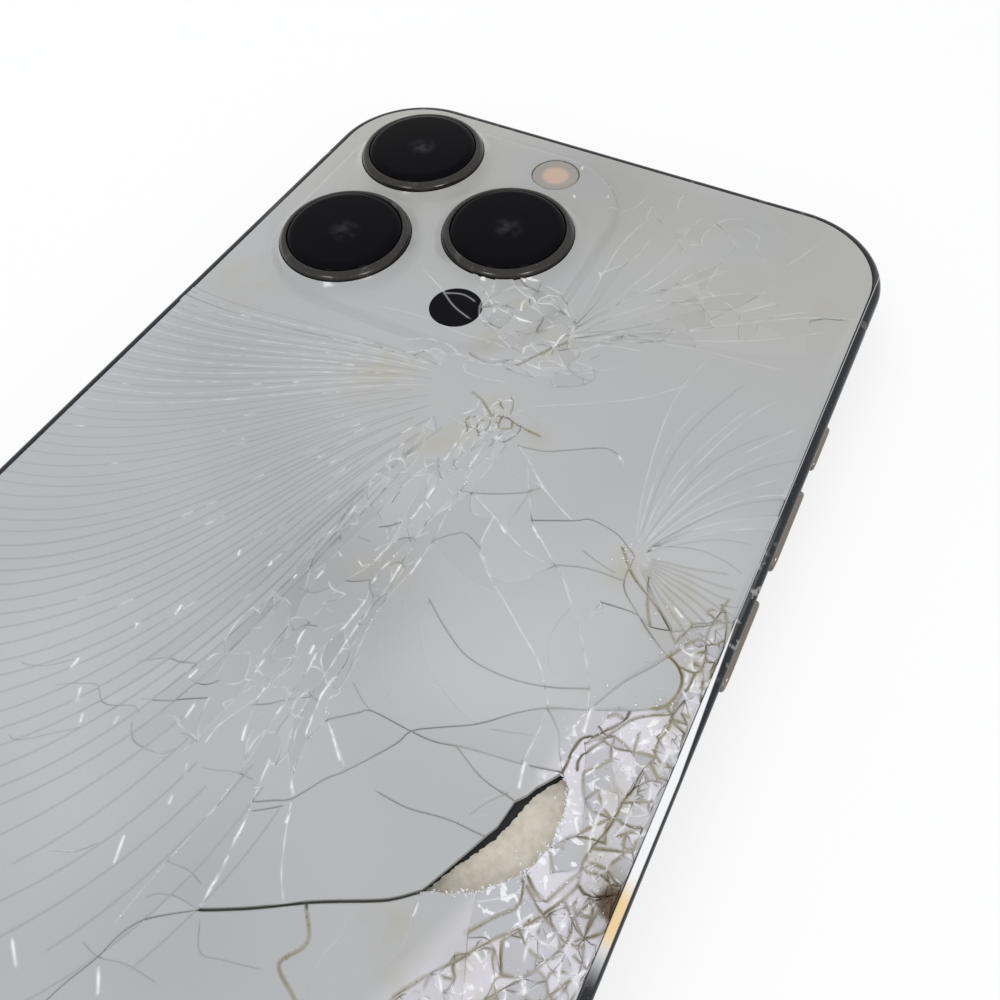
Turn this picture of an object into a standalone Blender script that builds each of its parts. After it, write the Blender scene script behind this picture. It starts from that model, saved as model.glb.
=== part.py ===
"""A smartphone lying on its display, with a shattered back glass that has lost one shard.

Lengths are in millimetres until a mesh is made. X runs across the phone, Y along it towards the
cameras, Z up through the back. The origin is on the display glass, at the middle of the outline.
"""

import math
import random

import bmesh
import bpy
import numpy as np
from mathutils import Matrix, Vector
from mathutils.geometry import delaunay_2d_cdt

MM = 0.001

# Outline of the phone
BODY_WIDTH = 71.5
BODY_LENGTH = 146.7
BODY_THICKNESS = 7.65
CORNER_RADIUS = 11.3
CORNER_STEPS = 8
HIDDEN_STEPS = 4

# Frame band
RIM = 1.15
BAND_WALL = 2.6
BAND_DROP = 0.4
SHOULDER = 0.85
LEDGE = 1.2

# Clearances
SEAM = 0.1
FIT = 0.12
STACK_GAP = 0.1

# Layers, from the display up
FRONT_GLASS = 0.7
DISPLAY = 1.0
BACK_PLATE = 0.4
PAD = 0.12
COIL = 0.4
BACK_GLASS = 0.85
GLASS_EDGE_DROP = 0.2
GLASS_EDGE_RUN = 0.45

# Camera plateau, a raised field of the back glass
PLATEAU_WIDTH = 38.0
PLATEAU_LENGTH = 36.6
PLATEAU_RADIUS = 11.5
PLATEAU_RISE = 1.0
PLATEAU_SLOPE = 1.5
PLATEAU_SIDE = 3.45
PLATEAU_TOP = 3.55

# Cameras
LENS_PITCH_X = 16.85
LENS_PITCH_Y = 17.4
RING_RADIUS = 7.7
RING_HEIGHT = 2.35
RING_CHAMFER = 0.45
RING_WALL = 1.1
RING_STEPS = 30
COVER_THICKNESS = 0.7
COVER_RECESS = 0.2
COVER_EDGE = 0.25
BARREL_RADIUS = 5.2
MODULE_SIDE = 14.2
MODULE_HEIGHT = 3.0
MODULE_CORNER = 1.0
FLASH_X = 8.0
FLASH_Y = 13.3
FLASH_RADIUS = 2.9
SENSOR_X = 8.4
SENSOR_Y = -12.2
SENSOR_RADIUS = 2.95
SENSOR_DEPTH = 2.2

# Buttons
BUTTON_HEIGHT = 2.9
BUTTON_PROUD = 0.5
BUTTON_TRAVEL = 0.25
BUTTON_EDGE = 0.3
VOLUME_LENGTH = 9.4
VOLUME_UP_Y = 31.5
VOLUME_DOWN_Y = 18.3
SIDE_LENGTH = 16.6
SIDE_Y = 25.0
SWITCH_LENGTH = 5.9
SWITCH_HEIGHT = 1.7
SWITCH_TRAVEL = 1.0
SWITCH_Y = 42.8
FLANGE = 0.5
FLANGE_LIP = 0.5
FLEX = 0.3
FLEX_MARGIN = 0.3
DOME_RADIUS = 1.0
DOME_HEIGHT = 0.15
DOME_GAP = 0.05

# Antenna strips in the band
STRIP_WIDTH = 1.1
STRIP_DEPTH = 0.8
STRIP_END = 15.6
STRIP_CROSS_X = 19.0
STRIP_SUNK = 0.02

# Bottom edge
PORT_WIDTH = 8.9
PORT_HEIGHT = 3.1
PORT_DEPTH = 7.0
PORT_WALL = 0.45
TONGUE_WIDTH = 6.6
TONGUE_HEIGHT = 0.75
TONGUE_BACK = 0.6
SCREW_X = 7.4
SCREW_RADIUS = 0.85
SCREW_LENGTH = 3.4
SCREW_SUNK = 0.15
SCREW_LOBES = 5
LOBE_OUTER = 0.55
LOBE_INNER = 0.3
LOBE_DEPTH = 0.5
SOUND_HOLE_RADIUS = 0.65
SOUND_HOLE_PITCH = 2.3
SOUND_HOLE_START = 11.5
SOUND_HOLES = 5

# Inside. The battery fills the width that the board and the two side gaps leave.
BATTERY_GAP = 3.15
BATTERY_LENGTH = 72.0
BATTERY_Y = -14.0
BATTERY_THICKNESS = 3.5
BATTERY_CORNER = 2.0
BOARD_WIDTH = 22.0
BOARD_LENGTH = 58.0
BOARD_THICKNESS = 0.8
BOARD_GAP = 1.65
BOARD_Y = -1.0
BOARD_CORNER = 1.5
BOARD_TO_BATTERY = 3.5
SHIELD_HEIGHT = 1.9
SHIELD_MARGIN = 1.0
COIL_INNER = 10.5
COIL_OUTER = 21.0
MAGNET_INNER = 22.2
MAGNET_OUTER = 25.6
COIL_Y = -2.0
SPEAKER_LENGTH = 13.0
MOTOR_LENGTH = 9.0
END_GAP = 0.6
INNER_HEIGHT = 3.4
INNER_CORNER = 1.0
EARPIECE_WIDTH = 12.0
EARPIECE_LENGTH = 4.5
SLIT_LENGTH = 11.0
SLIT_HEIGHT = 0.7
SLIT_INSET = 2.1
FRONT_CAMERA_SIDE = 6.5
FRONT_CAMERA_GAP = 2.2

# Crack grooves in the back glass
CRACK_DEPTH = 0.4
CRACK_FINE = 0.07
CRACK_WIDE = 0.12
SHORTEST = 0.25
SEED = 7

# Keeps two ends of an arc from falling on one point
TINY = 0.002

# Levels worked out from the layers
PANEL_TOP = FRONT_GLASS + STACK_GAP + DISPLAY
GLASS_BOTTOM = BODY_THICKNESS - BACK_GLASS
PAD_TOP = GLASS_BOTTOM - STACK_GAP
PLATE_TOP = PAD_TOP - PAD - STACK_GAP
PLATE_BOTTOM = PLATE_TOP - BACK_PLATE
COIL_TOP = PLATE_BOTTOM - STACK_GAP
COIL_BOTTOM = COIL_TOP - COIL
INNER_TOP = COIL_BOTTOM - STACK_GAP
INNER_BOTTOM = PANEL_TOP + STACK_GAP
PLATEAU_LEVEL = BODY_THICKNESS + PLATEAU_RISE
BAND_BOTTOM = BAND_DROP
BAND_TOP = BODY_THICKNESS - GLASS_EDGE_DROP
BAND_MIDDLE = (BAND_BOTTOM + BAND_TOP) / 2
HALF_WIDTH = BODY_WIDTH / 2
HALF_LENGTH = BODY_LENGTH / 2

# The camera field is set in from the phone's left and far edges
PLATEAU_X = -HALF_WIDTH + PLATEAU_SIDE + PLATEAU_WIDTH / 2
PLATEAU_Y = HALF_LENGTH - PLATEAU_TOP - PLATEAU_LENGTH / 2
LENS_PLACES = {
    "a": (PLATEAU_X - LENS_PITCH_X / 2, PLATEAU_Y + LENS_PITCH_Y / 2),
    "b": (PLATEAU_X - LENS_PITCH_X / 2, PLATEAU_Y - LENS_PITCH_Y / 2),
    "c": (PLATEAU_X + LENS_PITCH_X / 2, PLATEAU_Y),
}
FLASH_PLACE = (PLATEAU_X + FLASH_X, PLATEAU_Y + FLASH_Y)
SENSOR_PLACE = (PLATEAU_X + SENSOR_X, PLATEAU_Y + SENSOR_Y)

# Outline of the lost shard, from its far tip clockwise
LOST_SHARD = [
    (27.3, 0.3), (28.3, -0.6), (28.8, -2.6), (28.9, -4.6), (28.4, -6.6), (27.2, -8.5),
    (25.5, -10.2), (23.6, -11.3), (21.9, -12.1), (22.6, -10.4), (23.8, -7.6), (24.7, -5.5),
    (25.0, -3.3), (26.0, -1.6),
]
# The backing pad tore off short of the shard's left edge, which leaves a dark gap
PAD_EDGE = [(27.6, -0.2), (26.6, -2.0), (25.8, -3.2), (25.2, -5.7), (24.3, -7.8), (22.8, -11.0)]
PAD_LEFT = 19.0
PAD_SHOULDER = -14.5
PAD_NEAR = -24.0
PAD_FAR = 3.0
PAD_TIP = 29.5
PAD_MARGIN = 0.8

# Long cracks picked out one by one, each running from its first point to its last.
# A point past the edge of the glass lets a crack run out through the edge.
WIDE_CRACKS = [
    [(21.9, -12.1), (19.4, -14.1), (15.5, -16.3), (12.0, -18.6), (8.7, -20.6), (6.0, -21.7),
     (4.1, -23.6), (3.8, -26.5), (2.2, -30.0)],
    [(7.5, -12.6), (8.8, -11.7), (10.5, -10.0), (12.3, -7.5), (14.6, -4.0), (15.2, -2.5),
     (17.0, -1.2), (19.6, 0.5), (22.0, 2.8), (24.0, 4.3), (27.0, 5.7), (30.0, 7.2), (31.6, 8.4),
     (32.5, 10.2), (32.2, 12.0), (31.0, 12.9)],
    [(8.6, -4.9), (10.5, -3.3), (11.5, -2.6), (15.2, -2.5), (17.4, -2.3), (20.0, -1.5),
     (24.2, -0.6), (27.3, 0.3)],
    [(27.3, 0.3), (27.7, 2.6), (29.4, 4.4), (30.0, 7.2)],
    [(31.0, 12.9), (29.5, 13.6), (27.0, 15.4), (25.0, 17.2), (24.7, 20.3)],
    [(14.8, 19.4), (18.3, 21.2), (20.5, 22.0), (24.7, 20.3)],
    [(7.0, 28.8), (11.5, 25.2), (14.0, 23.2), (17.4, 21.4), (18.3, 21.2)],
    [(11.4, 24.9), (14.8, 19.4), (18.8, 16.2), (20.2, 15.1), (21.8, 13.3), (23.8, 11.0),
     (25.3, 9.0), (26.3, 7.3), (27.0, 5.7), (27.3, 3.6), (27.7, 2.6)],
    [(40.0, 59.2), (34.4, 57.2), (30.0, 55.4), (25.5, 53.5), (20.0, 50.3), (16.5, 47.3),
     (13.0, 44.8), (8.0, 41.0), (4.6, 35.5), (7.0, 28.8)],
]
FINE_CRACKS = [
    [(7.0, 28.8), (10.2, 26.5), (14.0, 28.0), (17.3, 30.0), (18.8, 29.9), (20.0, 28.6)],
    [(16.2, 29.4), (20.2, 34.2)],
    [(8.2, 19.6), (11.2, 20.7), (14.0, 23.2)],
    [(8.2, 19.6), (11.4, 18.2), (13.0, 17.4), (16.0, 16.2), (18.8, 16.2)],
    [(18.8, 16.2), (21.5, 17.2), (25.0, 17.2)],
    [(11.4, 18.2), (11.9, 14.7), (14.0, 12.6), (16.0, 11.3), (19.3, 9.0), (21.5, 7.5), (23.0, 5.8),
     (24.0, 4.3), (24.2, -0.6), (25.0, -3.3)],
    [(7.7, 13.4), (9.7, 15.6), (11.9, 14.7)],
    [(10.5, 8.1), (13.0, 6.5), (16.0, 5.1), (19.5, 5.0), (23.0, 5.8), (26.3, 7.3)],
    [(10.5, 8.1), (11.5, 5.0), (14.0, 2.5), (18.0, 0.7), (19.6, 0.5)],
    [(7.6, 10.0), (9.0, 6.5), (11.0, 3.0), (14.0, 1.6), (15.6, 1.7)],
    [(7.8, 5.0), (9.0, 2.5), (11.0, 0.0), (13.5, -1.9), (15.2, -2.5)],
    [(19.0, -1.8), (22.0, -3.0), (25.0, -3.3)],
    [(15.0, -7.7), (18.0, -7.6), (21.0, -6.9), (24.2, -6.6)],
    [(27.0, 5.7), (28.5, 9.0), (30.0, 11.2), (31.0, 12.9)],
    [(23.5, 12.4), (23.9, 14.8), (27.0, 15.4), (29.5, 13.6)],
    [(12.3, -7.5), (9.3, -5.2), (8.6, -4.9)],
    [(10.5, -10.0), (14.8, -12.4), (16.5, -13.4), (19.4, -14.1)],
    [(14.8, -12.4), (15.9, -15.0), (17.6, -18.2), (18.4, -22.0)],
    [(-17.0, 43.6), (-11.8, 43.2), (-8.0, 41.2), (-2.4, 38.4), (0.8, 36.6), (4.6, 35.5)],
    [(0.2, 44.2), (2.4, 41.2), (5.0, 39.2)],
    [(3.6, 44.6), (2.8, 42.2), (5.0, 39.2), (8.0, 41.0)],
    [(8.0, 41.0), (12.0, 36.6), (10.8, 33.6), (10.2, 26.5)],
    [(24.7, 20.3), (22.6, 20.0), (19.4, 21.6)],
    [(2.2, -30.0), (-1.0, -36.0), (-6.0, -47.0), (-12.0, -60.0), (-16.0, -80.0)],
    [(2.2, -30.0), (7.0, -38.0), (10.0, -50.0), (11.0, -64.0), (14.0, -80.0)],
    [(18.4, -22.0), (19.0, -33.0), (23.0, -46.0), (25.0, -60.0), (40.0, -68.0)],
    [(7.0, -38.0), (14.0, -40.0), (19.0, -33.0)],
    [(-6.0, -47.0), (2.0, -50.0), (10.0, -50.0)],
    [(10.0, -50.0), (17.0, -52.0), (23.0, -46.0)],
]
# The sheaf that falls from the first impact down the middle of the pane
SHEAF = [
    [(5.3, 27.9), (5.0, 24.0), (5.5, 20.0), (4.6, 15.0), (4.2, 11.0), (3.4, 7.0), (2.5, 2.0),
     (2.9, -3.0), (2.0, -9.0), (2.6, -16.0), (3.8, -26.5)],
    [(7.0, 28.8), (6.6, 22.0), (7.0, 19.0), (6.1, 15.0), (5.4, 9.5), (5.4, 5.0), (5.0, -1.0),
     (4.4, -8.0), (4.8, -15.0), (6.0, -21.7)],
    [(7.0, 28.8), (8.2, 19.6), (7.4, 16.0), (7.7, 13.4), (7.6, 10.0), (7.8, 5.0), (7.6, 0.0),
     (8.6, -4.9), (8.3, -8.5), (9.3, -11.4), (10.6, -14.0), (14.0, -17.4)],
    [(6.1, 15.0), (6.5, 9.0), (6.3, 3.0), (6.2, -3.0), (6.4, -8.0), (7.5, -12.6), (8.3, -18.0),
     (8.7, -20.6), (10.0, -30.0), (14.0, -40.0)],
    [(5.3, 27.9), (3.4, 23.0), (2.8, 17.0), (1.6, 12.0), (0.4, 6.0), (0.2, -2.0), (0.6, -10.0),
     (0.2, -18.0), (-1.4, -27.0), (-1.0, -36.0)],
]
FIRST_IMPACT = (5.3, 27.9)
SECOND_IMPACT = (24.7, 20.3)

# The long fan of near parallel cracks that sweeps from the first impact to the left edge
FAN_FOCUS = (4.0, 31.0)
FAN_COUNT = 24
FAN_FIRST = 4.0
FAN_LAST = 84.0
FAN_START = 9.0
FAN_STAGGER = 5.5
FAN_END = 66.0
FAN_STEPS = 6
FAN_TURN = 0.017
FAN_STRAIGHTEST = 33.0

# Short fans at the second impact: angle from +X in degrees, and reach
SPRAY = [
    (14, 9.9), (5, 9.6), (-5, 9.8), (-14, 9.6), (-24, 9.2), (-35, 8.4),
    (52, 13.0), (60, 19.0), (68, 17.0), (75, 20.0), (82, 22.0), (88, 23.0), (95, 24.0),
    (102, 25.5), (108, 25.0),
]
SPRAY_BEND = 7.0
SPRAY_START = 1.6

# The crushed strip along the right edge
CRUSH_LEFT = [(33.6, 19.0), (33.2, 12.0), (30.6, 6.6), (30.2, -2.0), (29.8, -8.0), (27.2, -14.0),
              (26.4, -22.0), (29.6, -32.0), (33.0, -42.0)]
CRUSH_PITCH = 2.4
CRUSH_JITTER = 0.7
CRUSH_KEPT = 0.78


def finish(name, colour, roughness, metallic=0.0):
    """A plain material in the colour that the piece has."""
    material = bpy.data.materials.new(name)
    material.use_nodes = True
    shader = material.node_tree.nodes["Principled BSDF"]
    shader.inputs["Base Color"].default_value = (*colour, 1.0)
    shader.inputs["Roughness"].default_value = roughness
    shader.inputs["Metallic"].default_value = metallic
    material.diffuse_color = (*colour, 1.0)
    return material


def clear_scene():
    for item in list(bpy.data.objects):
        bpy.data.objects.remove(item)


def collections():
    parts = bpy.data.collections.new("phone")
    cutters = bpy.data.collections.new("cutters")
    for group in (parts, cutters):
        bpy.context.scene.collection.children.link(group)
    cutters.hide_render = True
    return parts, cutters


def add(group, name, mesh, material=None):
    piece = bpy.data.objects.new(name, mesh)
    group.objects.link(piece)
    if material is not None:
        mesh.materials.append(material)
    return piece


def rounded(width, length, radius, centre=(0.0, 0.0), steps=CORNER_STEPS):
    """Points of a rounded rectangle, anticlockwise from the right end of the far side."""
    points = []
    for quarter, (sx, sy) in enumerate(((1, 1), (-1, 1), (-1, -1), (1, -1))):
        cx = centre[0] + sx * (width / 2 - radius)
        cy = centre[1] + sy * (length / 2 - radius)
        for step in range(steps + 1):
            angle = math.radians(90 * (quarter + step / steps))
            points.append((cx + radius * math.cos(angle), cy + radius * math.sin(angle)))
    return points


def circle(radius, centre=(0.0, 0.0), steps=16):
    turns = [2 * math.pi * k / steps for k in range(steps)]
    return [(centre[0] + radius * math.cos(t), centre[1] + radius * math.sin(t)) for t in turns]


def slot(length, height, centre=(0.0, 0.0), steps=5):
    """A stadium with its long side along X."""
    return rounded(length, height, height / 2 - TINY, centre, steps)


def plate_mesh(name, loops, bottom, top):
    """A flat filled outline, with any further loops as holes, extruded from bottom to top."""
    curve = bpy.data.curves.new(name, "CURVE")
    curve.dimensions = "2D"
    curve.fill_mode = "BOTH"
    curve.extrude = (top - bottom) / 2 * MM
    for loop in loops:
        spline = curve.splines.new("POLY")
        spline.points.add(len(loop) - 1)
        for point, (x, y) in zip(spline.points, loop):
            point.co = (x * MM, y * MM, 0.0, 1.0)
        spline.use_cyclic_u = True
    holder = bpy.data.objects.new(name, curve)
    bpy.context.scene.collection.objects.link(holder)
    evaluated = holder.evaluated_get(bpy.context.evaluated_depsgraph_get())
    mesh = bpy.data.meshes.new_from_object(evaluated)
    bpy.data.objects.remove(holder)
    bpy.data.curves.remove(curve)
    shape = bmesh.new()
    shape.from_mesh(mesh)
    bmesh.ops.remove_doubles(shape, verts=shape.verts, dist=1e-7)
    bmesh.ops.translate(shape, verts=shape.verts, vec=(0.0, 0.0, (bottom + top) / 2 * MM))
    bmesh.ops.recalc_face_normals(shape, faces=shape.faces)
    shape.to_mesh(mesh)
    shape.free()
    mesh.name = name
    return mesh


def plate(group, name, loops, bottom, top, material=None):
    return add(group, name, plate_mesh(name, loops, bottom, top), material)


def soften(piece, width, segments=2, angle=60.0):
    """A rounded edge on every corner sharper than the angle."""
    edge = piece.modifiers.new("edge", "BEVEL")
    edge.width = width * MM
    edge.segments = segments
    edge.limit_method = "ANGLE"
    edge.angle_limit = math.radians(angle)
    return edge


def cut(piece, cutter):
    """Takes the cutter's shape out of the piece, and keeps the cutter as a wire guide."""
    cutter.hide_render = True
    cutter.display_type = "WIRE"
    difference = piece.modifiers.new("cut " + cutter.name, "BOOLEAN")
    difference.operation = "DIFFERENCE"
    difference.solver = "EXACT"
    difference.object = cutter
    return difference


def turned(group, name, profile, centre, material, steps=RING_STEPS):
    """A profile of radius and height, from its top outer side down, turned about the centre."""
    mesh = bpy.data.meshes.new(name)
    corners = [(radius * MM, 0.0, height * MM) for radius, height in profile]
    closed = len(profile) > 0 and profile[0][0] > 0
    links = [(k, k + 1) for k in range(len(profile) - 1)]
    if closed:
        links.append((len(profile) - 1, 0))
    mesh.from_pydata(corners, links, [])
    piece = add(group, name, mesh, material)
    piece.location = (centre[0] * MM, centre[1] * MM, 0.0)
    screw = piece.modifiers.new("turn", "SCREW")
    screw.axis = "Z"
    screw.steps = steps
    screw.render_steps = steps
    screw.use_merge_vertices = True
    screw.merge_threshold = 1e-6
    screw.use_normal_calculate = False
    return piece


def shade_round(piece, angle=35.0):
    piece.data.shade_smooth()
    piece.data.set_sharp_from_angle(angle=math.radians(angle))


def outline(inset, steps=CORNER_STEPS):
    """The phone's outline, set in by a distance."""
    width, length = BODY_WIDTH - 2 * inset, BODY_LENGTH - 2 * inset
    return rounded(width, length, CORNER_RADIUS - inset, steps=steps)


def inside_round_box(x, y, half_x, half_y, radius):
    """Distance in from a rounded rectangle's edge, negative outside it."""
    qx = abs(x) - half_x + radius
    qy = abs(y) - half_y + radius
    outside = math.hypot(max(qx, 0.0), max(qy, 0.0)) + min(max(qx, qy), 0.0)
    return radius - outside


def glass_level(x, y):
    """Height of the back glass: flat, rolled down at its edge, raised on the camera plateau."""
    edge = inside_round_box(x, y, HALF_WIDTH - RIM, HALF_LENGTH - RIM, CORNER_RADIUS - RIM)
    roll = min(max(1.0 - edge / GLASS_EDGE_RUN, 0.0), 1.0)
    inward = inside_round_box(
        x - PLATEAU_X, y - PLATEAU_Y, PLATEAU_WIDTH / 2, PLATEAU_LENGTH / 2, PLATEAU_RADIUS
    )
    climb = min(max(inward / PLATEAU_SLOPE, 0.0), 1.0)
    climb = climb * climb * (3 - 2 * climb)
    return BODY_THICKNESS - GLASS_EDGE_DROP * roll + PLATEAU_RISE * climb


def fan_lines():
    """Cracks on polar curves about the focus: the angle bends off with the square of the reach."""
    lines = []
    for k in range(FAN_COUNT):
        heading = FAN_FIRST + (FAN_LAST - FAN_FIRST) * k / (FAN_COUNT - 1)
        start = FAN_START + FAN_STAGGER * (k % 2 + (k % 4 == 3))
        points = []
        for step in range(FAN_STEPS + 1):
            reach = start + (FAN_END - start) * step / FAN_STEPS
            angle = math.radians(heading - FAN_TURN * (reach - FAN_STRAIGHTEST) ** 2)
            x = FAN_FOCUS[0] - reach * math.cos(angle)
            y = FAN_FOCUS[1] - reach * math.sin(angle)
            points.append((x, y))
        lines.append(points)
    return lines


def spray_lines():
    """Short bent cracks that leave the second impact like a brush."""
    lines = []
    for heading, reach in SPRAY:
        bend = SPRAY_BEND if heading > 45 else 0.0
        points = []
        for share in (0.0, 0.35, 0.7, 1.0):
            along = SPRAY_START + (reach - SPRAY_START) * share
            angle = math.radians(heading + bend * share)
            x = SECOND_IMPACT[0] + along * math.cos(angle)
            y = SECOND_IMPACT[1] + along * math.sin(angle)
            points.append((x, y))
        lines.append(points)
    return lines


def crush_left_at(y):
    """X of the crushed strip's left border at a height along the phone."""
    ys = [point[1] for point in reversed(CRUSH_LEFT)]
    xs = [point[0] for point in reversed(CRUSH_LEFT)]
    return float(np.interp(y, ys, xs))


def crush_lines():
    """A web of small shards: jittered points joined to their Delaunay neighbours."""
    chance = random.Random(SEED)
    right = HALF_WIDTH - RIM
    top, bottom = CRUSH_LEFT[0][1], CRUSH_LEFT[-1][1]
    rows = int((top - bottom) / CRUSH_PITCH)
    points = []
    for row in range(rows + 1):
        y = top - CRUSH_PITCH * row
        left = crush_left_at(y)
        places = max(int(round((right - left) / CRUSH_PITCH)), 1)
        for place in range(places + 1):
            x = left + (right - left) * place / places
            wander = CRUSH_JITTER * (place < places)
            x += chance.uniform(-wander, wander)
            points.append((x, y + chance.uniform(-CRUSH_JITTER, CRUSH_JITTER)))
    found = delaunay_2d_cdt([Vector(p) for p in points], [], [], 0, 0.01)
    spots, edges = found[0], found[1]
    lines = []
    for a, b in edges:
        near = (spots[a] - spots[b]).length < 1.9 * CRUSH_PITCH
        if near and chance.random() < CRUSH_KEPT:
            lines.append([tuple(spots[a]), tuple(spots[b])])
    return lines


def crack_lines():
    """Every crack as its points and the half width of its groove."""
    wide = [(line, CRACK_WIDE) for line in WIDE_CRACKS]
    fine = [(line, CRACK_FINE) for line in FINE_CRACKS + SHEAF + fan_lines()]
    fine += [(line, CRACK_FINE) for line in spray_lines() + crush_lines()]
    return wide + fine


def closed_edges(first, count):
    return [(first + k, first + (k + 1) % count) for k in range(count)]


def inside_polygon(x, y, corners):
    found = False
    for (x0, y0), (x1, y1) in zip(corners, corners[1:] + corners[:1]):
        if (y0 > y) != (y1 > y) and x < x0 + (y - y0) * (x1 - x0) / (y1 - y0):
            found = not found
    return found


def lens_holes():
    holes = [(place, RING_RADIUS + SEAM) for place in LENS_PLACES.values()]
    holes.append((FLASH_PLACE, FLASH_RADIUS + SEAM))
    return holes


def in_pane(x, y):
    """Whether a spot is on the glass: inside its outline, off the openings and the lost shard."""
    half_x, half_y = HALF_WIDTH - RIM, HALF_LENGTH - RIM
    if inside_round_box(x, y, half_x, half_y, CORNER_RADIUS - RIM) < 0:
        return False
    if any(math.hypot(x - cx, y - cy) < radius for (cx, cy), radius in lens_holes()):
        return False
    return not inside_polygon(x, y, LOST_SHARD)


def pane_plan():
    """The pane in plan: spots, triangles, and each crack edge with its half width."""
    spots, edges, widths, walls = [], [], [], []

    def lay(points, closed, width, wall=False):
        first = len(spots)
        spots.extend(Vector(point) for point in points)
        links = closed_edges(first, len(points))
        links = links if closed else links[:-1]
        edges.extend(links)
        widths.extend([width] * len(links))
        walls.extend([wall] * len(links))

    lay(outline(RIM), True, 0.0, True)
    lay(outline(RIM + GLASS_EDGE_RUN), True, 0.0)
    for share in (0.0, 0.4, 1.0):
        inset = PLATEAU_SLOPE * share
        ring = rounded(
            PLATEAU_WIDTH - 2 * inset,
            PLATEAU_LENGTH - 2 * inset,
            PLATEAU_RADIUS - inset,
            (PLATEAU_X, PLATEAU_Y),
        )
        lay(ring, True, 0.0)
    for centre, radius in lens_holes():
        lay(circle(radius, centre, RING_STEPS if radius > RING_RADIUS else 20), True, 0.0, True)
    lay(LOST_SHARD, True, 0.0, True)
    for line, width in crack_lines():
        lay(line, False, width)
    found = delaunay_2d_cdt(spots, edges, [], 1, SHORTEST)
    places, links, faces, link_sources = found[0], found[1], found[2], found[4]
    groove, wall_links = {}, set()
    for link, sources in zip(links, link_sources):
        sources = [s for s in sources if s < len(widths)]
        if any(walls[s] for s in sources):
            wall_links.add(frozenset(link))
            continue
        widest = max((widths[s] for s in sources), default=0.0)
        if widest > 0:
            groove[frozenset(link)] = widest
    faces = [upward(places, face) for face in faces]
    return places, spread(faces, widest_on_glass(places, faces), wall_links), groove


def upward(places, face):
    a, b, c = (places[k] for k in face)
    return tuple(face) if (b - a).cross(c - a) > 0 else tuple(face[::-1])


def widest_on_glass(places, faces):
    """The largest triangle whose middle is surely on the glass."""
    best, largest = 0, 0.0
    for number, face in enumerate(faces):
        a, b, c = (places[k] for k in face)
        centre = (a + b + c) / 3
        area = (b - a).cross(c - a)
        if area > largest and in_pane(centre.x, centre.y):
            best, largest = number, area
    return best


def spread(faces, start, walls):
    """The faces reached from one of them without crossing a wall."""
    beside = {}
    for number, face in enumerate(faces):
        for k in range(3):
            beside.setdefault(frozenset((face[k], face[(k + 1) % 3])), []).append(number)
    reached, waiting = {start}, [start]
    while waiting:
        face = faces[waiting.pop()]
        for k in range(3):
            link = frozenset((face[k], face[(k + 1) % 3]))
            if link in walls:
                continue
            for other in beside[link]:
                if other not in reached:
                    reached.add(other)
                    waiting.append(other)
    return [faces[number] for number in sorted(reached)]


def wedges_of(triangles, groove):
    """Joins the corners of neighbouring triangles at a spot, unless a groove runs between them."""
    parent = {(t, v): (t, v) for t, face in enumerate(triangles) for v in face}

    def root(key):
        while parent[key] != key:
            parent[key] = parent[parent[key]]
            key = parent[key]
        return key

    sides = {}
    for t, face in enumerate(triangles):
        for k in range(3):
            sides[(face[k], face[(k + 1) % 3])] = t
    for (a, b), t in sides.items():
        other = sides.get((b, a))
        if other is None or frozenset((a, b)) in groove:
            continue
        for v in (a, b):
            parent[root((t, v))] = root((other, v))
    return {key: root(key) for key in parent}, sides


def groove_shift(normals):
    """How far a wedge's corner draws back so that each bounding groove gets its half width."""
    if len(normals) == 1:
        normal, width = normals[0]
        return normal * width
    (n1, w1), (n2, w2) = normals[:2]
    det = n1.x * n2.y - n1.y * n2.x
    if abs(det) > 0.3:
        shift = Vector(((w1 * n2.y - w2 * n1.y) / det, (w2 * n1.x - w1 * n2.x) / det))
    else:
        shift = (n1 * w1 + n2 * w2) / 2
    longest = 3 * max(w1, w2)
    if shift.length > longest:
        shift *= longest / shift.length
    return shift


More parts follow.
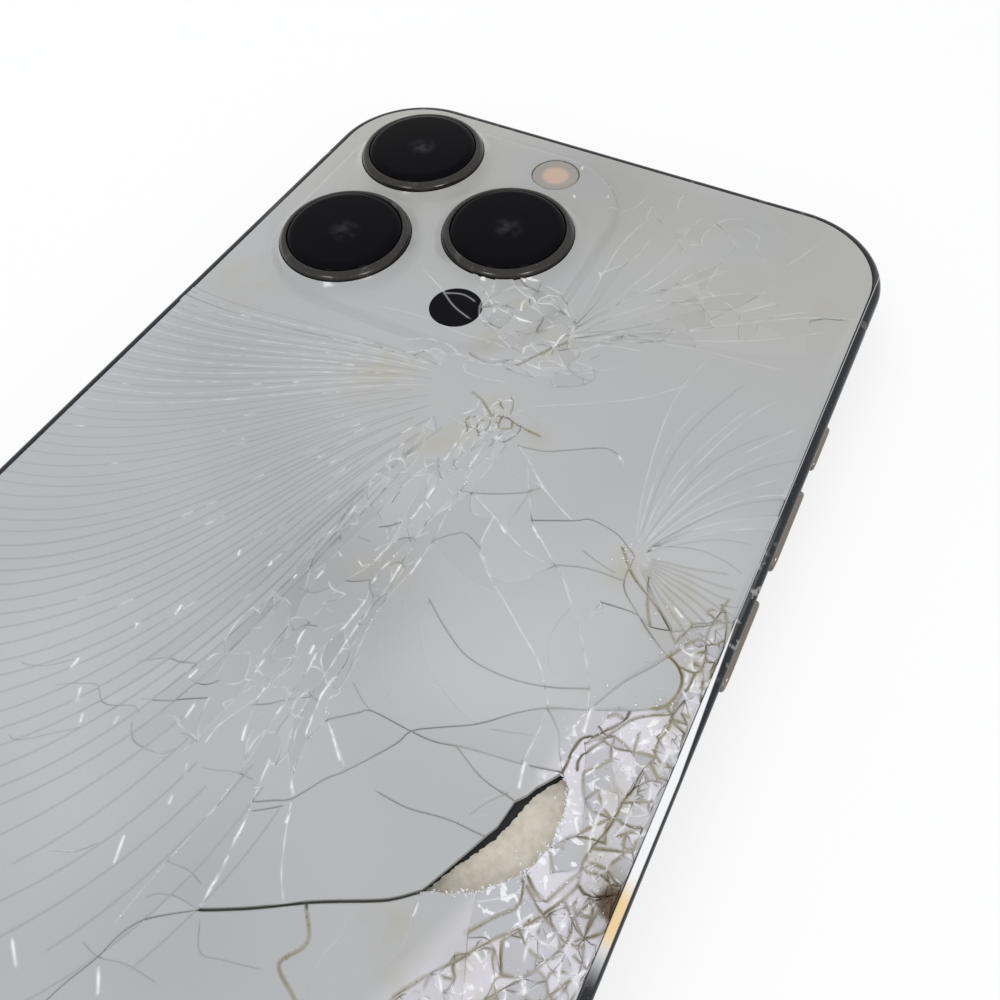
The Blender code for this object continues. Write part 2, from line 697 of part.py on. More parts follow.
def cracked_pane(group, material):
    """One solid pane. Each crack is a V groove: the shards' tops draw back from it on both sides,
    and its floor stays joined, as the film under real glass keeps broken shards together."""
    places, triangles, groove = pane_plan()
    corner, sides = wedges_of(triangles, groove)
    bounding = {}
    for (a, b), t in sides.items():
        other = sides.get((b, a))
        width = groove.get(frozenset((a, b)), 0.0)
        if other is not None and width == 0.0:
            continue
        along = (places[b] - places[a]).normalized()
        normal = Vector((-along.y, along.x))
        for v in (a, b):
            drawn_back = width if other is not None else 0.0
            bounding.setdefault(corner[(t, v)], []).append((normal, drawn_back))
    classes_at = {}
    for (t, v), key in corner.items():
        classes_at.setdefault(v, set()).add(key)
    split = {v for v, keys in classes_at.items() if len(keys) > 1}
    shift = {}
    for key in set(corner.values()):
        v = key[1]
        normals = bounding.get(key, [])
        shift[key] = groove_shift(normals) if v in split and normals else Vector((0.0, 0.0))

    def plan_triangles():
        """Every triangle of the top in plan, as three (spot, wedge or None for a groove floor)."""
        tops = [[corner[(t, v)] for v in face] for t, face in enumerate(triangles)]
        slopes = []
        for (a, b), t in sides.items():
            if frozenset((a, b)) not in groove or (b, a) not in sides:
                continue
            top_a, top_b = corner[(t, a)], corner[(t, b)]
            floor_a = ("floor", a) if a in split else top_a
            floor_b = ("floor", b) if b in split else top_b
            if floor_a != top_a:
                slopes.append([top_b, top_a, floor_a])
            if floor_b != top_b:
                slopes.append([top_b, floor_a, floor_b])
        return tops + slopes

    faces = plan_triangles()

    def place(key):
        return places[key[1]] if key[0] == "floor" else places[key[1]] + shift[key]

    for _ in range(24):
        tight = set()
        for face in faces:
            a, b, c = (place(key) for key in face)
            if (b - a).cross(c - a) < 2e-4:
                tight.update(key for key in face if key[0] != "floor" and shift[key].length > 1e-4)
        if not tight:
            break
        for key in tight:
            shift[key] *= 0.6

    index, corners = {}, []

    def vertex(key):
        if key not in index:
            index[key] = len(corners)
            if key[0] == "base":
                spot, height = places[key[1]], GLASS_BOTTOM
            else:
                spot = place(key)
                height = glass_level(spot.x, spot.y)
                if key[0] == "floor":
                    height -= CRACK_DEPTH
            corners.append((spot.x * MM, spot.y * MM, height * MM))
        return index[key]

    shell = [[vertex(key) for key in face] for face in faces]
    rim_edges = [(a, b, t) for (a, b), t in sides.items() if (b, a) not in sides]
    incoming, outgoing = {}, {}
    for a, b, t in rim_edges:
        top_a, top_b = vertex(corner[(t, a)]), vertex(corner[(t, b)])
        base_a, base_b = vertex(("base", a)), vertex(("base", b))
        shell += [[top_b, top_a, base_a], [top_b, base_a, base_b]]
        outgoing[a], incoming[b] = top_a, top_b
    for v in outgoing:
        if incoming[v] != outgoing[v]:
            base, floor = vertex(("base", v)), vertex(("floor", v))
            shell += [[incoming[v], base, floor], [base, outgoing[v], floor]]
    shell += base_faces(places, rim_edges, vertex)
    mesh = bpy.data.meshes.new("back_glass")
    mesh.from_pydata(corners, [], shell)
    return add(group, "back_glass", mesh, material)


def base_faces(places, rim_edges, vertex):
    """The flat underside, from the rim's own spots alone."""
    names = sorted({a for a, b, t in rim_edges})
    number = {v: k for k, v in enumerate(names)}
    links = [(number[a], number[b]) for a, b, t in rim_edges]
    found = delaunay_2d_cdt([places[v] for v in names], links, [], 1, 1e-6)
    faces = [tuple(found[3][k][0] for k in upward(found[0], face)) for face in found[2]]
    start = next(
        number
        for number, face in enumerate(faces)
        if links[0] in [(face[k], face[(k + 1) % 3]) for k in range(3)]
    )
    kept = spread(faces, start, {frozenset(link) for link in links})
    return [[vertex(("base", names[k])) for k in reversed(face)] for face in kept]


def frame_band(parts, cutters, metal):
    """The polished band: an outer ring with rounded shoulders, ledges for both panes, and slots."""
    band = plate(parts, "frame_band", [outline(0.0)], BAND_BOTTOM, BAND_TOP, metal)
    soften(band, SHOULDER, 2, 60)
    pockets = [
        ("pocket_back", RIM - SEAM, GLASS_BOTTOM - STACK_GAP, BODY_THICKNESS),
        ("pocket_front", RIM - SEAM, 0.0, PANEL_TOP + STACK_GAP),
        ("pocket_plate", RIM + LEDGE, PLATE_BOTTOM - STACK_GAP, BODY_THICKNESS),
        ("cavity", BAND_WALL, -1.0, BODY_THICKNESS + 1.0),
    ]
    for name, inset, bottom, top in pockets:
        steps = CORNER_STEPS if inset < RIM else HIDDEN_STEPS
        cut(band, plate(cutters, name, [outline(inset, steps)], bottom, top))
    for name, side, y, length, height, radius in side_slots():
        cut(band, side_cutter(cutters, "slot_" + name, side, y, length, height, radius))
    for k, place in enumerate(strip_places()):
        cut(band, strip_block(cutters, f"groove_{k + 1}", place, FIT, 0.6))
    for cutter in bottom_cutters(cutters):
        cut(band, cutter)
    shade_round(band)


def side_slots():
    """Name, side, place along the phone, length, height and end radius of each control's slot."""
    return [
        ("volume_up", 1, VOLUME_UP_Y, VOLUME_LENGTH, BUTTON_HEIGHT, BUTTON_HEIGHT / 2),
        ("volume_down", 1, VOLUME_DOWN_Y, VOLUME_LENGTH, BUTTON_HEIGHT, BUTTON_HEIGHT / 2),
        ("switch", 1, SWITCH_Y, SWITCH_LENGTH, SWITCH_HEIGHT + SWITCH_TRAVEL, SWITCH_HEIGHT / 2),
        ("side", -1, SIDE_Y, SIDE_LENGTH, BUTTON_HEIGHT, BUTTON_HEIGHT / 2),
    ]


def sideways(mesh, side, x, y, z):
    """Stands a plate drawn in X and Y on the phone's side: its X runs along the phone, its Y up."""
    turn = Matrix(((0, 0, side), (side, 0, 0), (0, 1, 0))).to_4x4()
    mesh.transform(Matrix.Translation((x * MM, y * MM, z * MM)) @ turn)
    return mesh


def side_cutter(cutters, name, side, y, length, height, radius):
    depth = BAND_WALL + 2.0
    loop = rounded(length + 2 * FIT, height + 2 * FIT, radius + FIT - TINY, steps=5)
    mesh = plate_mesh(name, [loop], -depth, 1.0)
    return add(cutters, name, sideways(mesh, side, side * HALF_WIDTH, y, BAND_MIDDLE))


def button(parts, name, side, y, length, material):
    """A pressed button: a cap through the band and a wider flange that keeps it in."""
    back = -(BAND_WALL + SEAM)
    cap = plate_mesh(name, [slot(length, BUTTON_HEIGHT)], back - FLANGE / 2, BUTTON_PROUD)
    piece = add(parts, name, sideways(cap, side, 0.0, 0.0, 0.0), material)
    piece.location = (side * HALF_WIDTH * MM, y * MM, BAND_MIDDLE * MM)
    soften(piece, BUTTON_EDGE, 1)
    lip = slot(length + 2 * FLANGE_LIP, BUTTON_HEIGHT + FLANGE_LIP)
    flange_mesh = plate_mesh(name + "_flange", [lip], back - FLANGE, back)
    flange = bpy.data.objects.new(name + "_flange", flange_mesh)
    sideways(flange.data, side, 0.0, 0.0, 0.0)
    flange.location = piece.location
    join(piece, flange)
    return piece


def join(piece, other):
    """Adds the other's shape to the piece."""
    bpy.data.collections["cutters"].objects.link(other)
    other.hide_render = True
    other.display_type = "WIRE"
    union = piece.modifiers.new("with " + other.name, "BOOLEAN")
    union.operation = "UNION"
    union.solver = "EXACT"
    union.object = other


def ring_switch(parts, metal):
    """A small slider that stands at the display end of its slot and moves up towards the back."""
    back = -(BAND_WALL + SEAM)
    low = BAND_MIDDLE - SWITCH_TRAVEL / 2
    face = slot(SWITCH_LENGTH - 2 * FIT, SWITCH_HEIGHT)
    cap = plate_mesh("ring_switch", [face], back - FLANGE / 2, BUTTON_PROUD)
    piece = add(parts, "ring_switch", sideways(cap, 1, 0.0, 0.0, 0.0), metal)
    piece.location = (HALF_WIDTH * MM, SWITCH_Y * MM, low * MM)
    soften(piece, BUTTON_EDGE, 1)
    lip = slot(SWITCH_LENGTH + 2 * FLANGE_LIP, SWITCH_HEIGHT + 2 * FLANGE_LIP)
    foot = bpy.data.objects.new("switch_foot", plate_mesh("switch_foot", [lip], back - FLANGE, back))
    sideways(foot.data, 1, 0.0, 0.0, 0.0)
    foot.location = piece.location
    join(piece, foot)
    return piece


def flex_strip(parts, name, side, centres, material):
    """The flexible strip behind the buttons, with a dome contact under each of them."""
    front = -(BAND_WALL + SEAM + FLANGE + BUTTON_TRAVEL + DOME_GAP)
    dome = DOME_HEIGHT
    ends = [y + sign * VOLUME_LENGTH / 2 for y in centres for sign in (-1, 1)]
    middle, length = (min(ends) + max(ends)) / 2, max(ends) - min(ends)
    strip = rounded(length, BUTTON_HEIGHT + 2 * FLEX_MARGIN, 2 * FLEX_MARGIN, steps=3)
    mesh = plate_mesh(name, [strip], front - dome - FLEX, front - dome)
    piece = add(parts, name, sideways(mesh, side, side * HALF_WIDTH, middle, BAND_MIDDLE), material)
    for k, y in enumerate(centres):
        foot = circle(DOME_RADIUS, steps=12)
        bump = plate_mesh(f"{name}_dome_{k + 1}", [foot], front - dome - FLEX / 2, front)
        sideways(bump, side, side * HALF_WIDTH, y, BAND_MIDDLE)
        join(piece, bpy.data.objects.new(bump.name, bump))
    return piece


def strip_places():
    """Antenna strips as the middle of the outer face and the way it looks."""
    y = HALF_LENGTH - STRIP_END
    places = [((side * HALF_WIDTH, end * y), (side, 0)) for side in (1, -1) for end in (1, -1)]
    places.append(((STRIP_CROSS_X, HALF_LENGTH), (0, 1)))
    places.append(((-STRIP_CROSS_X, -HALF_LENGTH), (0, -1)))
    return places


def strip_block(group, name, place, extra, over, material=None):
    """A block that crosses the band's outer face, STRIP_DEPTH into it."""
    (x, y), (dx, dy) = place
    along = STRIP_WIDTH / 2 + extra
    inner = STRIP_DEPTH + extra
    if dx:
        loop = [(x - dx * inner, y - along), (x + dx * over, y - along),
                (x + dx * over, y + along), (x - dx * inner, y + along)]
    else:
        loop = [(x - along, y - dy * inner), (x - along, y + dy * over),
                (x + along, y + dy * over), (x + along, y - dy * inner)]
    low, high = BAND_BOTTOM + SHOULDER, BAND_TOP - SHOULDER
    return plate(group, name, [loop], low - extra, high + extra, material)


def antenna_strips(parts, plastic):
    for k, place in enumerate(strip_places()):
        strip_block(parts, f"antenna_strip_{k + 1}", place, 0.0, -STRIP_SUNK, plastic)


def endways(mesh, x, z):
    """Stands a plate drawn in X and Y on the phone's near end, looking along -Y."""
    turn = Matrix(((1, 0, 0), (0, 0, -1), (0, 1, 0))).to_4x4()
    mesh.transform(Matrix.Translation((x * MM, -HALF_LENGTH * MM, z * MM)) @ turn)
    return mesh


def sound_hole_places():
    first = [SOUND_HOLE_START + SOUND_HOLE_PITCH * k for k in range(SOUND_HOLES)]
    return first + [-x for x in first]


def bottom_cutters(cutters):
    """The charging slot, the screw seats and the sound holes of the near end."""
    deep = BAND_WALL + 1.0
    shapes = [("port_slot", slot(PORT_WIDTH, PORT_HEIGHT), 0.0)]
    for side in (1, -1):
        shapes.append((f"screw_seat_{side + 2}", circle(SCREW_RADIUS + FIT, steps=16), side * SCREW_X))
    for k, x in enumerate(sound_hole_places()):
        shapes.append((f"sound_hole_{k + 1}", circle(SOUND_HOLE_RADIUS, steps=8), x))
    made = []
    for name, loop, x in shapes:
        mesh = plate_mesh(name, [loop], -deep, 1.0)
        made.append(add(cutters, name, endways(mesh, x, BAND_MIDDLE)))
    return made


def charging_port(parts, cutters, metal):
    """A shell behind the slot with its mouth open and a contact tongue in the middle."""
    start = -(BAND_WALL + SEAM)
    wall = PORT_WALL
    mouth_size = (PORT_WIDTH + 2 * wall, PORT_HEIGHT + 2 * wall)
    shell = plate_mesh("charging_port", [slot(*mouth_size)], start - PORT_DEPTH, start)
    piece = add(parts, "charging_port", endways(shell, 0.0, BAND_MIDDLE), metal)
    mouth = plate_mesh("port_mouth", [slot(PORT_WIDTH, PORT_HEIGHT)], start - PORT_DEPTH + wall, 1.0)
    cut(piece, add(cutters, "port_mouth", endways(mouth, 0.0, BAND_MIDDLE)))
    tongue_low, tongue_high = start - PORT_DEPTH + wall / 2, start - TONGUE_BACK
    tongue = plate_mesh("port_tongue", [slot(TONGUE_WIDTH, TONGUE_HEIGHT)], tongue_low, tongue_high)
    join(piece, bpy.data.objects.new("port_tongue", endways(tongue, 0.0, BAND_MIDDLE)))
    return piece


def case_screws(parts, cutters, metal):
    """Two screws through the near end, each with a five lobed recess in its head."""
    for name, side in (("case_screw_left", -1), ("case_screw_right", 1)):
        shaft = plate_mesh(name, [circle(SCREW_RADIUS, steps=16)], -SCREW_LENGTH, -SCREW_SUNK)
        piece = add(parts, name, endways(shaft, side * SCREW_X, BAND_MIDDLE), metal)
        lobes = []
        for k in range(2 * SCREW_LOBES):
            reach = LOBE_OUTER if k % 2 == 0 else LOBE_INNER
            turn = math.pi * k / SCREW_LOBES
            lobes.append((reach * math.cos(turn), reach * math.sin(turn)))
        recess = plate_mesh(name + "_recess", [lobes], -SCREW_SUNK - LOBE_DEPTH, 1.0)
        cut(piece, add(cutters, name + "_recess", endways(recess, side * SCREW_X, BAND_MIDDLE)))


def lens_parts(parts, letter, place, finishes):
    """One camera: the steel ring on the plateau, its black cover, and the module behind it."""
    base = PLATE_TOP + STACK_GAP
    top = PLATEAU_LEVEL + RING_HEIGHT
    inner = RING_RADIUS - RING_WALL
    seat = top - COVER_RECESS - COVER_THICKNESS - STACK_GAP
    ring = [
        (RING_RADIUS - RING_CHAMFER, top), (RING_RADIUS, top - RING_CHAMFER), (RING_RADIUS, base),
        (BARREL_RADIUS + FIT, base), (BARREL_RADIUS + FIT, seat), (inner, seat), (inner, top),
    ]
    shade_round(turned(parts, f"lens_ring_{letter}", ring, place, finishes["steel"]))
    cover_top = top - COVER_RECESS
    cover_radius = inner - FIT
    cover = [(0.0, cover_top), (cover_radius - COVER_EDGE, cover_top),
             (cover_radius, cover_top - COVER_EDGE),
             (cover_radius, cover_top - COVER_THICKNESS), (0.0, cover_top - COVER_THICKNESS)]
    shade_round(turned(parts, f"lens_cover_{letter}", cover, place, finishes["lens"]))
    barrel_top = seat - STACK_GAP
    block_top = INNER_BOTTOM + MODULE_HEIGHT
    barrel = plate(parts, f"camera_module_{letter}", [circle(BARREL_RADIUS, place)],
                   block_top - MODULE_CORNER / 2, barrel_top, finishes["dark"])
    side = rounded(MODULE_SIDE, MODULE_SIDE, MODULE_CORNER, place, 2)
    block = plate_mesh(f"module_block_{letter}", [side],
                       INNER_BOTTOM, block_top)
    join(barrel, bpy.data.objects.new(block.name, block))


def camera_parts(parts, finishes):
    for letter, place in LENS_PLACES.items():
        lens_parts(parts, letter, place, finishes)
    base = PLATE_TOP + STACK_GAP
    turned(parts, "flash_lens",
           [(0.0, PLATEAU_LEVEL), (FLASH_RADIUS, PLATEAU_LEVEL), (FLASH_RADIUS, base), (0.0, base)],
           FLASH_PLACE, finishes["flash"], 20)
    sensor = circle(SENSOR_RADIUS, SENSOR_PLACE, 16)
    plate(parts, "range_sensor", [sensor], PLATE_TOP - SENSOR_DEPTH, PAD_TOP, finishes["dark"])


def inner_parts(parts, finishes):
    """What fills the case, each piece on the display panel or under the back plate."""
    half_x = BAND_WALL + FIT
    slit = slot(SLIT_LENGTH, SLIT_HEIGHT, (0.0, HALF_LENGTH - SLIT_INSET), 2)
    plate(parts, "front_glass", [outline(RIM), slit], 0.0, FRONT_GLASS, finishes["front"])
    soften(parts.objects["front_glass"], GLASS_EDGE_DROP, 1)
    panel_low = FRONT_GLASS + STACK_GAP
    panel = outline(RIM + SEAM, HIDDEN_STEPS)
    plate(parts, "display_panel", [panel], panel_low, PANEL_TOP, finishes["dark"])
    wall = HALF_WIDTH - BAND_WALL
    board_place = (BOARD_GAP - wall + BOARD_WIDTH / 2, BOARD_Y)
    battery_left = BOARD_GAP - wall + BOARD_WIDTH + BOARD_TO_BATTERY
    battery_right = wall - BATTERY_GAP
    battery_place = ((battery_left + battery_right) / 2, BATTERY_Y)
    battery_width = battery_right - battery_left
    battery = rounded(battery_width, BATTERY_LENGTH, BATTERY_CORNER, battery_place, 3)
    battery_top = INNER_BOTTOM + BATTERY_THICKNESS
    plate(parts, "battery", [battery], INNER_BOTTOM, battery_top, finishes["battery"])
    board = rounded(BOARD_WIDTH, BOARD_LENGTH, BOARD_CORNER, board_place, 2)
    board_top = INNER_BOTTOM + BOARD_THICKNESS
    plate(parts, "logic_board", [board], INNER_BOTTOM, board_top, finishes["board"])
    shield_width, shield_length = BOARD_WIDTH - 2 * SHIELD_MARGIN, BOARD_LENGTH - 2 * SHIELD_MARGIN
    shield = rounded(shield_width, shield_length, BOARD_CORNER - SHIELD_MARGIN / 2, board_place, 2)
    shield_low = board_top + STACK_GAP
    plate(parts, "board_shield", [shield], shield_low, shield_low + SHIELD_HEIGHT, finishes["steel"])
    low, high = INNER_BOTTOM, INNER_BOTTOM + INNER_HEIGHT
    near, far = -HALF_LENGTH + half_x, HALF_LENGTH - half_x
    corner_x = HALF_WIDTH - CORNER_RADIUS
    beside_screw = SCREW_X + SCREW_RADIUS + END_GAP
    end_width, end_x = corner_x - beside_screw, (corner_x + beside_screw) / 2
    camera_x = corner_x - FRONT_CAMERA_GAP - FRONT_CAMERA_SIDE / 2
    boxes = [
        ("loudspeaker", -end_x, near + SPEAKER_LENGTH / 2, end_width, SPEAKER_LENGTH, "dark"),
        ("vibration_motor", end_x, near + MOTOR_LENGTH / 2, end_width, MOTOR_LENGTH, "steel"),
        ("earpiece", 0.0, far - EARPIECE_LENGTH / 2, EARPIECE_WIDTH, EARPIECE_LENGTH, "dark"),
        ("front_camera", camera_x, far - FRONT_CAMERA_SIDE / 2,
         FRONT_CAMERA_SIDE, FRONT_CAMERA_SIDE, "dark"),
    ]
    for name, x, y, width, length, look in boxes:
        box = rounded(width, length, INNER_CORNER, (x, y), 3)
        plate(parts, name, [box], low, high, finishes[look])
    coil_centre = (0.0, COIL_Y)
    coil = [circle(COIL_OUTER, coil_centre, 28), circle(COIL_INNER, coil_centre, 20)]
    plate(parts, "charging_coil", coil, COIL_BOTTOM, COIL_TOP, finishes["copper"])
    magnets = [circle(MAGNET_OUTER, coil_centre, 32), circle(MAGNET_INNER, coil_centre, 32)]
    plate(parts, "magnet_ring", magnets, COIL_BOTTOM, COIL_TOP, finishes["steel"])


def back_plate(parts, finishes):
    """The dark plate under the glass, cut out for the cameras, and the beige pad glued on it."""
    inset = RIM + LEDGE + SEAM
    holes = [circle(BARREL_RADIUS + FIT, place) for place in LENS_PLACES.values()]
    holes.append(circle(SENSOR_RADIUS + FIT, SENSOR_PLACE, 16))
    loops = [outline(inset, HIDDEN_STEPS)] + holes
    plate(parts, "back_plate", loops, PLATE_BOTTOM, PLATE_TOP, finishes["plate"])
    right = HALF_WIDTH - inset - PAD_MARGIN
    pad = PAD_EDGE + [(PAD_LEFT, PAD_SHOULDER), (PAD_LEFT, PAD_NEAR), (right, PAD_NEAR),
                      (right, PAD_FAR), (PAD_TIP, PAD_FAR)]
    low = PLATE_TOP + STACK_GAP / 2
    plate(parts, "backing_pad", [pad], low, low + PAD, finishes["pad"])


def main():
    clear_scene()
    parts, cutters = collections()
    finishes = {
        "steel": finish("polished_steel", (0.30, 0.29, 0.28), 0.2, 1.0),
        "lens": finish("lens_glass", (0.012, 0.013, 0.016), 0.06),
        "dark": finish("dark_plastic", (0.02, 0.02, 0.022), 0.45),
        "flash": finish("flash_diffuser", (0.72, 0.58, 0.48), 0.3),
        "front": finish("display_glass", (0.01, 0.01, 0.012), 0.06),
        "battery": finish("battery_wrap", (0.03, 0.03, 0.035), 0.5),
        "board": finish("circuit_board", (0.01, 0.03, 0.05), 0.45),
        "copper": finish("copper_winding", (0.6, 0.28, 0.16), 0.35, 1.0),
        "plate": finish("blackened_plate", (0.02, 0.02, 0.02), 0.5, 0.6),
        "pad": finish("beige_backing", (0.55, 0.50, 0.42), 0.8),
        "glass": finish("grey_glass", (0.43, 0.45, 0.46), 0.18),
        "band": finish("dark_polished_steel", (0.10, 0.11, 0.12), 0.15, 1.0),
        "button": finish("button_steel", (0.24, 0.21, 0.19), 0.2, 1.0),
        "strip": finish("antenna_plastic", (0.08, 0.085, 0.09), 0.5),
        "flex": finish("amber_flex", (0.35, 0.16, 0.04), 0.45),
    }
    frame_band(parts, cutters, finishes["band"])
    antenna_strips(parts, finishes["strip"])
    cracked_pane(parts, finishes["glass"])
    back_plate(parts, finishes)
    camera_parts(parts, finishes)
    inner_parts(parts, finishes)
    charging_port(parts, cutters, finishes["steel"])
    case_screws(parts, cutters, finishes["steel"])
    button(parts, "volume_up", 1, VOLUME_UP_Y, VOLUME_LENGTH, finishes["button"])
    button(parts, "volume_down", 1, VOLUME_DOWN_Y, VOLUME_LENGTH, finishes["button"])
    button(parts, "side_button", -1, SIDE_Y, SIDE_LENGTH, finishes["button"])
    ring_switch(parts, finishes["button"])
    flex_strip(parts, "flex_right", 1, [VOLUME_DOWN_Y, VOLUME_UP_Y], finishes["flex"])
    flex_strip(parts, "flex_left", -1, [SIDE_Y], finishes["flex"])


main()
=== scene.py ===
"""Looks of a smartphone that lies on its display, its back glass shattered and one shard lost.

Lengths are in millimetres until a mesh is made. X runs across the phone, Y along it towards the
cameras, Z up through the back, all as in the frame.
"""

import math

import bmesh
import bpy
import numpy as np
from mathutils import Matrix, Vector
from mathutils.geometry import delaunay_2d_cdt


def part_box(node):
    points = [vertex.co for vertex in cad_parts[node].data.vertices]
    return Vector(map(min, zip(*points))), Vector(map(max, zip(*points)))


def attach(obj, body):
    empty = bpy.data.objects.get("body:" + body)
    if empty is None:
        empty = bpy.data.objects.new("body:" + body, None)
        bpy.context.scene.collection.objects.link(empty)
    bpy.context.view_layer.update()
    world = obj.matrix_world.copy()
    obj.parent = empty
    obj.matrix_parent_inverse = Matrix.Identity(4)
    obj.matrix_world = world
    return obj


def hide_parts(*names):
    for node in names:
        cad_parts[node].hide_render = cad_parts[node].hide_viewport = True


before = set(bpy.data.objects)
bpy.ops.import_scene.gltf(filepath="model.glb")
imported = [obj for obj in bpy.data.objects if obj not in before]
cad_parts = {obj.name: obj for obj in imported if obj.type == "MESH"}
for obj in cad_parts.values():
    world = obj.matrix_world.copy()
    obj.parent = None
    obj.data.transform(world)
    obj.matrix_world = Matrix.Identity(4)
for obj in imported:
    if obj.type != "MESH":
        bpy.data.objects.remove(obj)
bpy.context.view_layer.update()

MM = 0.001


def node_box(name):
    """Lowest and highest corner of a CAD node in millimetres."""
    low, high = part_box(name)
    return np.array(low) / MM, np.array(high) / MM


# Sizes read from the frame
BAND_LOW, BAND_HIGH = node_box("frame_band")
GLASS_LOW, GLASS_HIGH = node_box("back_glass")
HALF_WIDTH, HALF_LENGTH = BAND_HIGH[0], BAND_HIGH[1]
RIM = BAND_HIGH[0] - GLASS_HIGH[0]
LENS_PLACES = {k: sum(node_box("lens_ring_" + k))[:2] / 2 for k in "abc"}
FLASH_PLACE = sum(node_box("flash_lens"))[:2] / 2
SENSOR_PLACE = sum(node_box("range_sensor"))[:2] / 2
RING_RADIUS = (node_box("lens_ring_a")[1] - node_box("lens_ring_a")[0])[1] / 2 + 0.04
RING_TOP = node_box("lens_ring_a")[1][2]
RING_BASE = node_box("lens_ring_a")[0][2]
FLASH_RADIUS = (node_box("flash_lens")[1] - node_box("flash_lens")[0])[0] / 2
SENSOR_RADIUS = (node_box("range_sensor")[1] - node_box("range_sensor")[0])[0] / 2

# Sizes of the real piece that the frame's boxes don't hold
CORNER_RADIUS = 11.3
EDGE_DROP = 0.2
EDGE_RUN = 0.45
BACK_LEVEL = BAND_HIGH[2] + EDGE_DROP
PLATEAU_LEVEL = GLASS_HIGH[2]
PLATEAU_WIDTH = 38.0
PLATEAU_LENGTH = 36.6
PLATEAU_RADIUS = 11.5
PLATEAU_SLOPE = 1.5
PLATEAU = (LENS_PLACES["a"] + np.array([LENS_PLACES["c"][0], LENS_PLACES["b"][1]])) / 2
SEAM = 0.1
FIT = 0.12
SHOULDER = 0.85
SKIRT_WIDTH = 1.5
SKIRT_RISE = 1.2

# The lost shard, from its far tip clockwise
LOST_SHARD = [
    (27.3, 0.3), (28.3, -0.6), (28.6, -1.7), (28.8, -2.6), (28.75, -3.6), (28.9, -4.6), (28.6, -5.7),
    (28.4, -6.6), (27.8, -7.5), (27.2, -8.5), (26.3, -9.3), (25.5, -10.2), (24.6, -10.7),
    (23.6, -11.3), (22.7, -11.6), (21.9, -12.1), (22.6, -10.4), (23.2, -9.0), (23.8, -7.6),
    (24.2, -6.6), (24.7, -5.5), (25.0, -3.3), (25.6, -2.5), (26.0, -1.6),
]

# Cracks given one by one, in groups that look alike
OPEN_CRACKS = [
    [(21.9, -12.1), (20.7, -13.2), (19.4, -14.1), (15.5, -16.3), (12.0, -18.6), (10.0, -19.8),
     (8.4, -20.7)],
]
BURNT_CRACKS = [
    [(31.0, 12.9), (32.0, 12.4), (32.7, 11.5), (32.8, 10.2), (32.4, 9.0), (31.5, 8.2)],
    [(30.0, 7.2), (29.9, 6.3), (29.2, 5.2), (28.3, 4.0), (27.4, 3.0), (27.3, 0.3)],
    [(32.6, 1.8), (32.3, 0.4), (32.2, -1.0), (32.0, -2.2)],
    [(31.8, -6.3), (32.6, -6.6), (33.6, -6.2), (34.4, -5.6)],
]
DARK_CRACKS = [
    [(8.4, -20.7), (6.6, -22.0), (5.2, -23.2), (4.4, -24.6), (4.0, -26.4), (3.0, -29.0), (2.2, -32.0)],
    [(7.2, -12.9), (8.6, -12.0), (9.8, -11.2), (11.2, -8.8), (12.3, -7.5), (14.6, -4.0), (15.2, -2.5),
     (17.0, -1.2), (19.6, 0.5), (22.0, 2.8), (24.0, 4.3), (27.0, 5.7), (30.0, 7.2), (31.5, 8.2)],
    [(8.6, -4.9), (10.5, -3.3), (11.5, -2.6), (15.2, -2.5), (17.4, -2.3), (20.0, -1.5),
     (24.2, -0.6), (27.3, 0.3)],
    [(31.0, 12.9), (29.5, 13.6), (27.0, 15.4), (25.0, 17.2), (24.7, 20.3)],
    [(14.8, 19.4), (18.3, 21.2), (19.3, 21.9), (20.5, 22.0), (22.6, 21.6), (24.7, 20.3)],
    [(9.6, 26.4), (12.2, 27.0), (14.0, 28.0), (17.3, 30.0), (18.8, 29.9)],
    [(7.2, 19.2), (9.2, 19.9), (11.2, 20.9), (12.8, 21.9), (14.0, 23.2)],
    [(18.8, 16.2), (21.5, 17.2), (25.0, 17.6)],
    [(7.7, 13.4), (8.8, 14.6), (10.0, 15.4), (11.9, 14.7)],
    [(10.5, 8.1), (13.0, 6.5), (16.0, 5.1), (19.5, 5.0), (23.0, 5.8), (26.3, 7.3)],
    [(19.0, -1.8), (22.0, -3.0), (25.0, -3.3)],
    [(15.0, -7.7), (18.0, -7.6), (21.0, -6.9), (24.2, -6.6)],
    [(27.0, 5.7), (28.5, 9.0), (30.0, 11.2), (31.0, 12.9)],
    [(23.9, 14.8), (27.0, 15.2), (28.6, 14.6), (31.4, 15.6)],
    [(7.5, -13.5), (8.6, -12.7), (9.6, -11.9)],
    [(2.4, 12.2), (3.2, 12.8), (4.0, 13.6)],
    [(20.0, 18.8), (22.4, 18.2), (24.0, 18.0)],
    [(2.2, -32.0), (-1.0, -38.0), (-6.0, -47.0), (-12.0, -60.0), (-16.0, -80.0)],
    [(18.4, -22.0), (19.0, -33.0), (23.0, -46.0), (25.0, -60.0), (40.0, -68.0)],
    [(10.0, -50.0), (17.0, -52.0), (23.0, -46.0)],
]
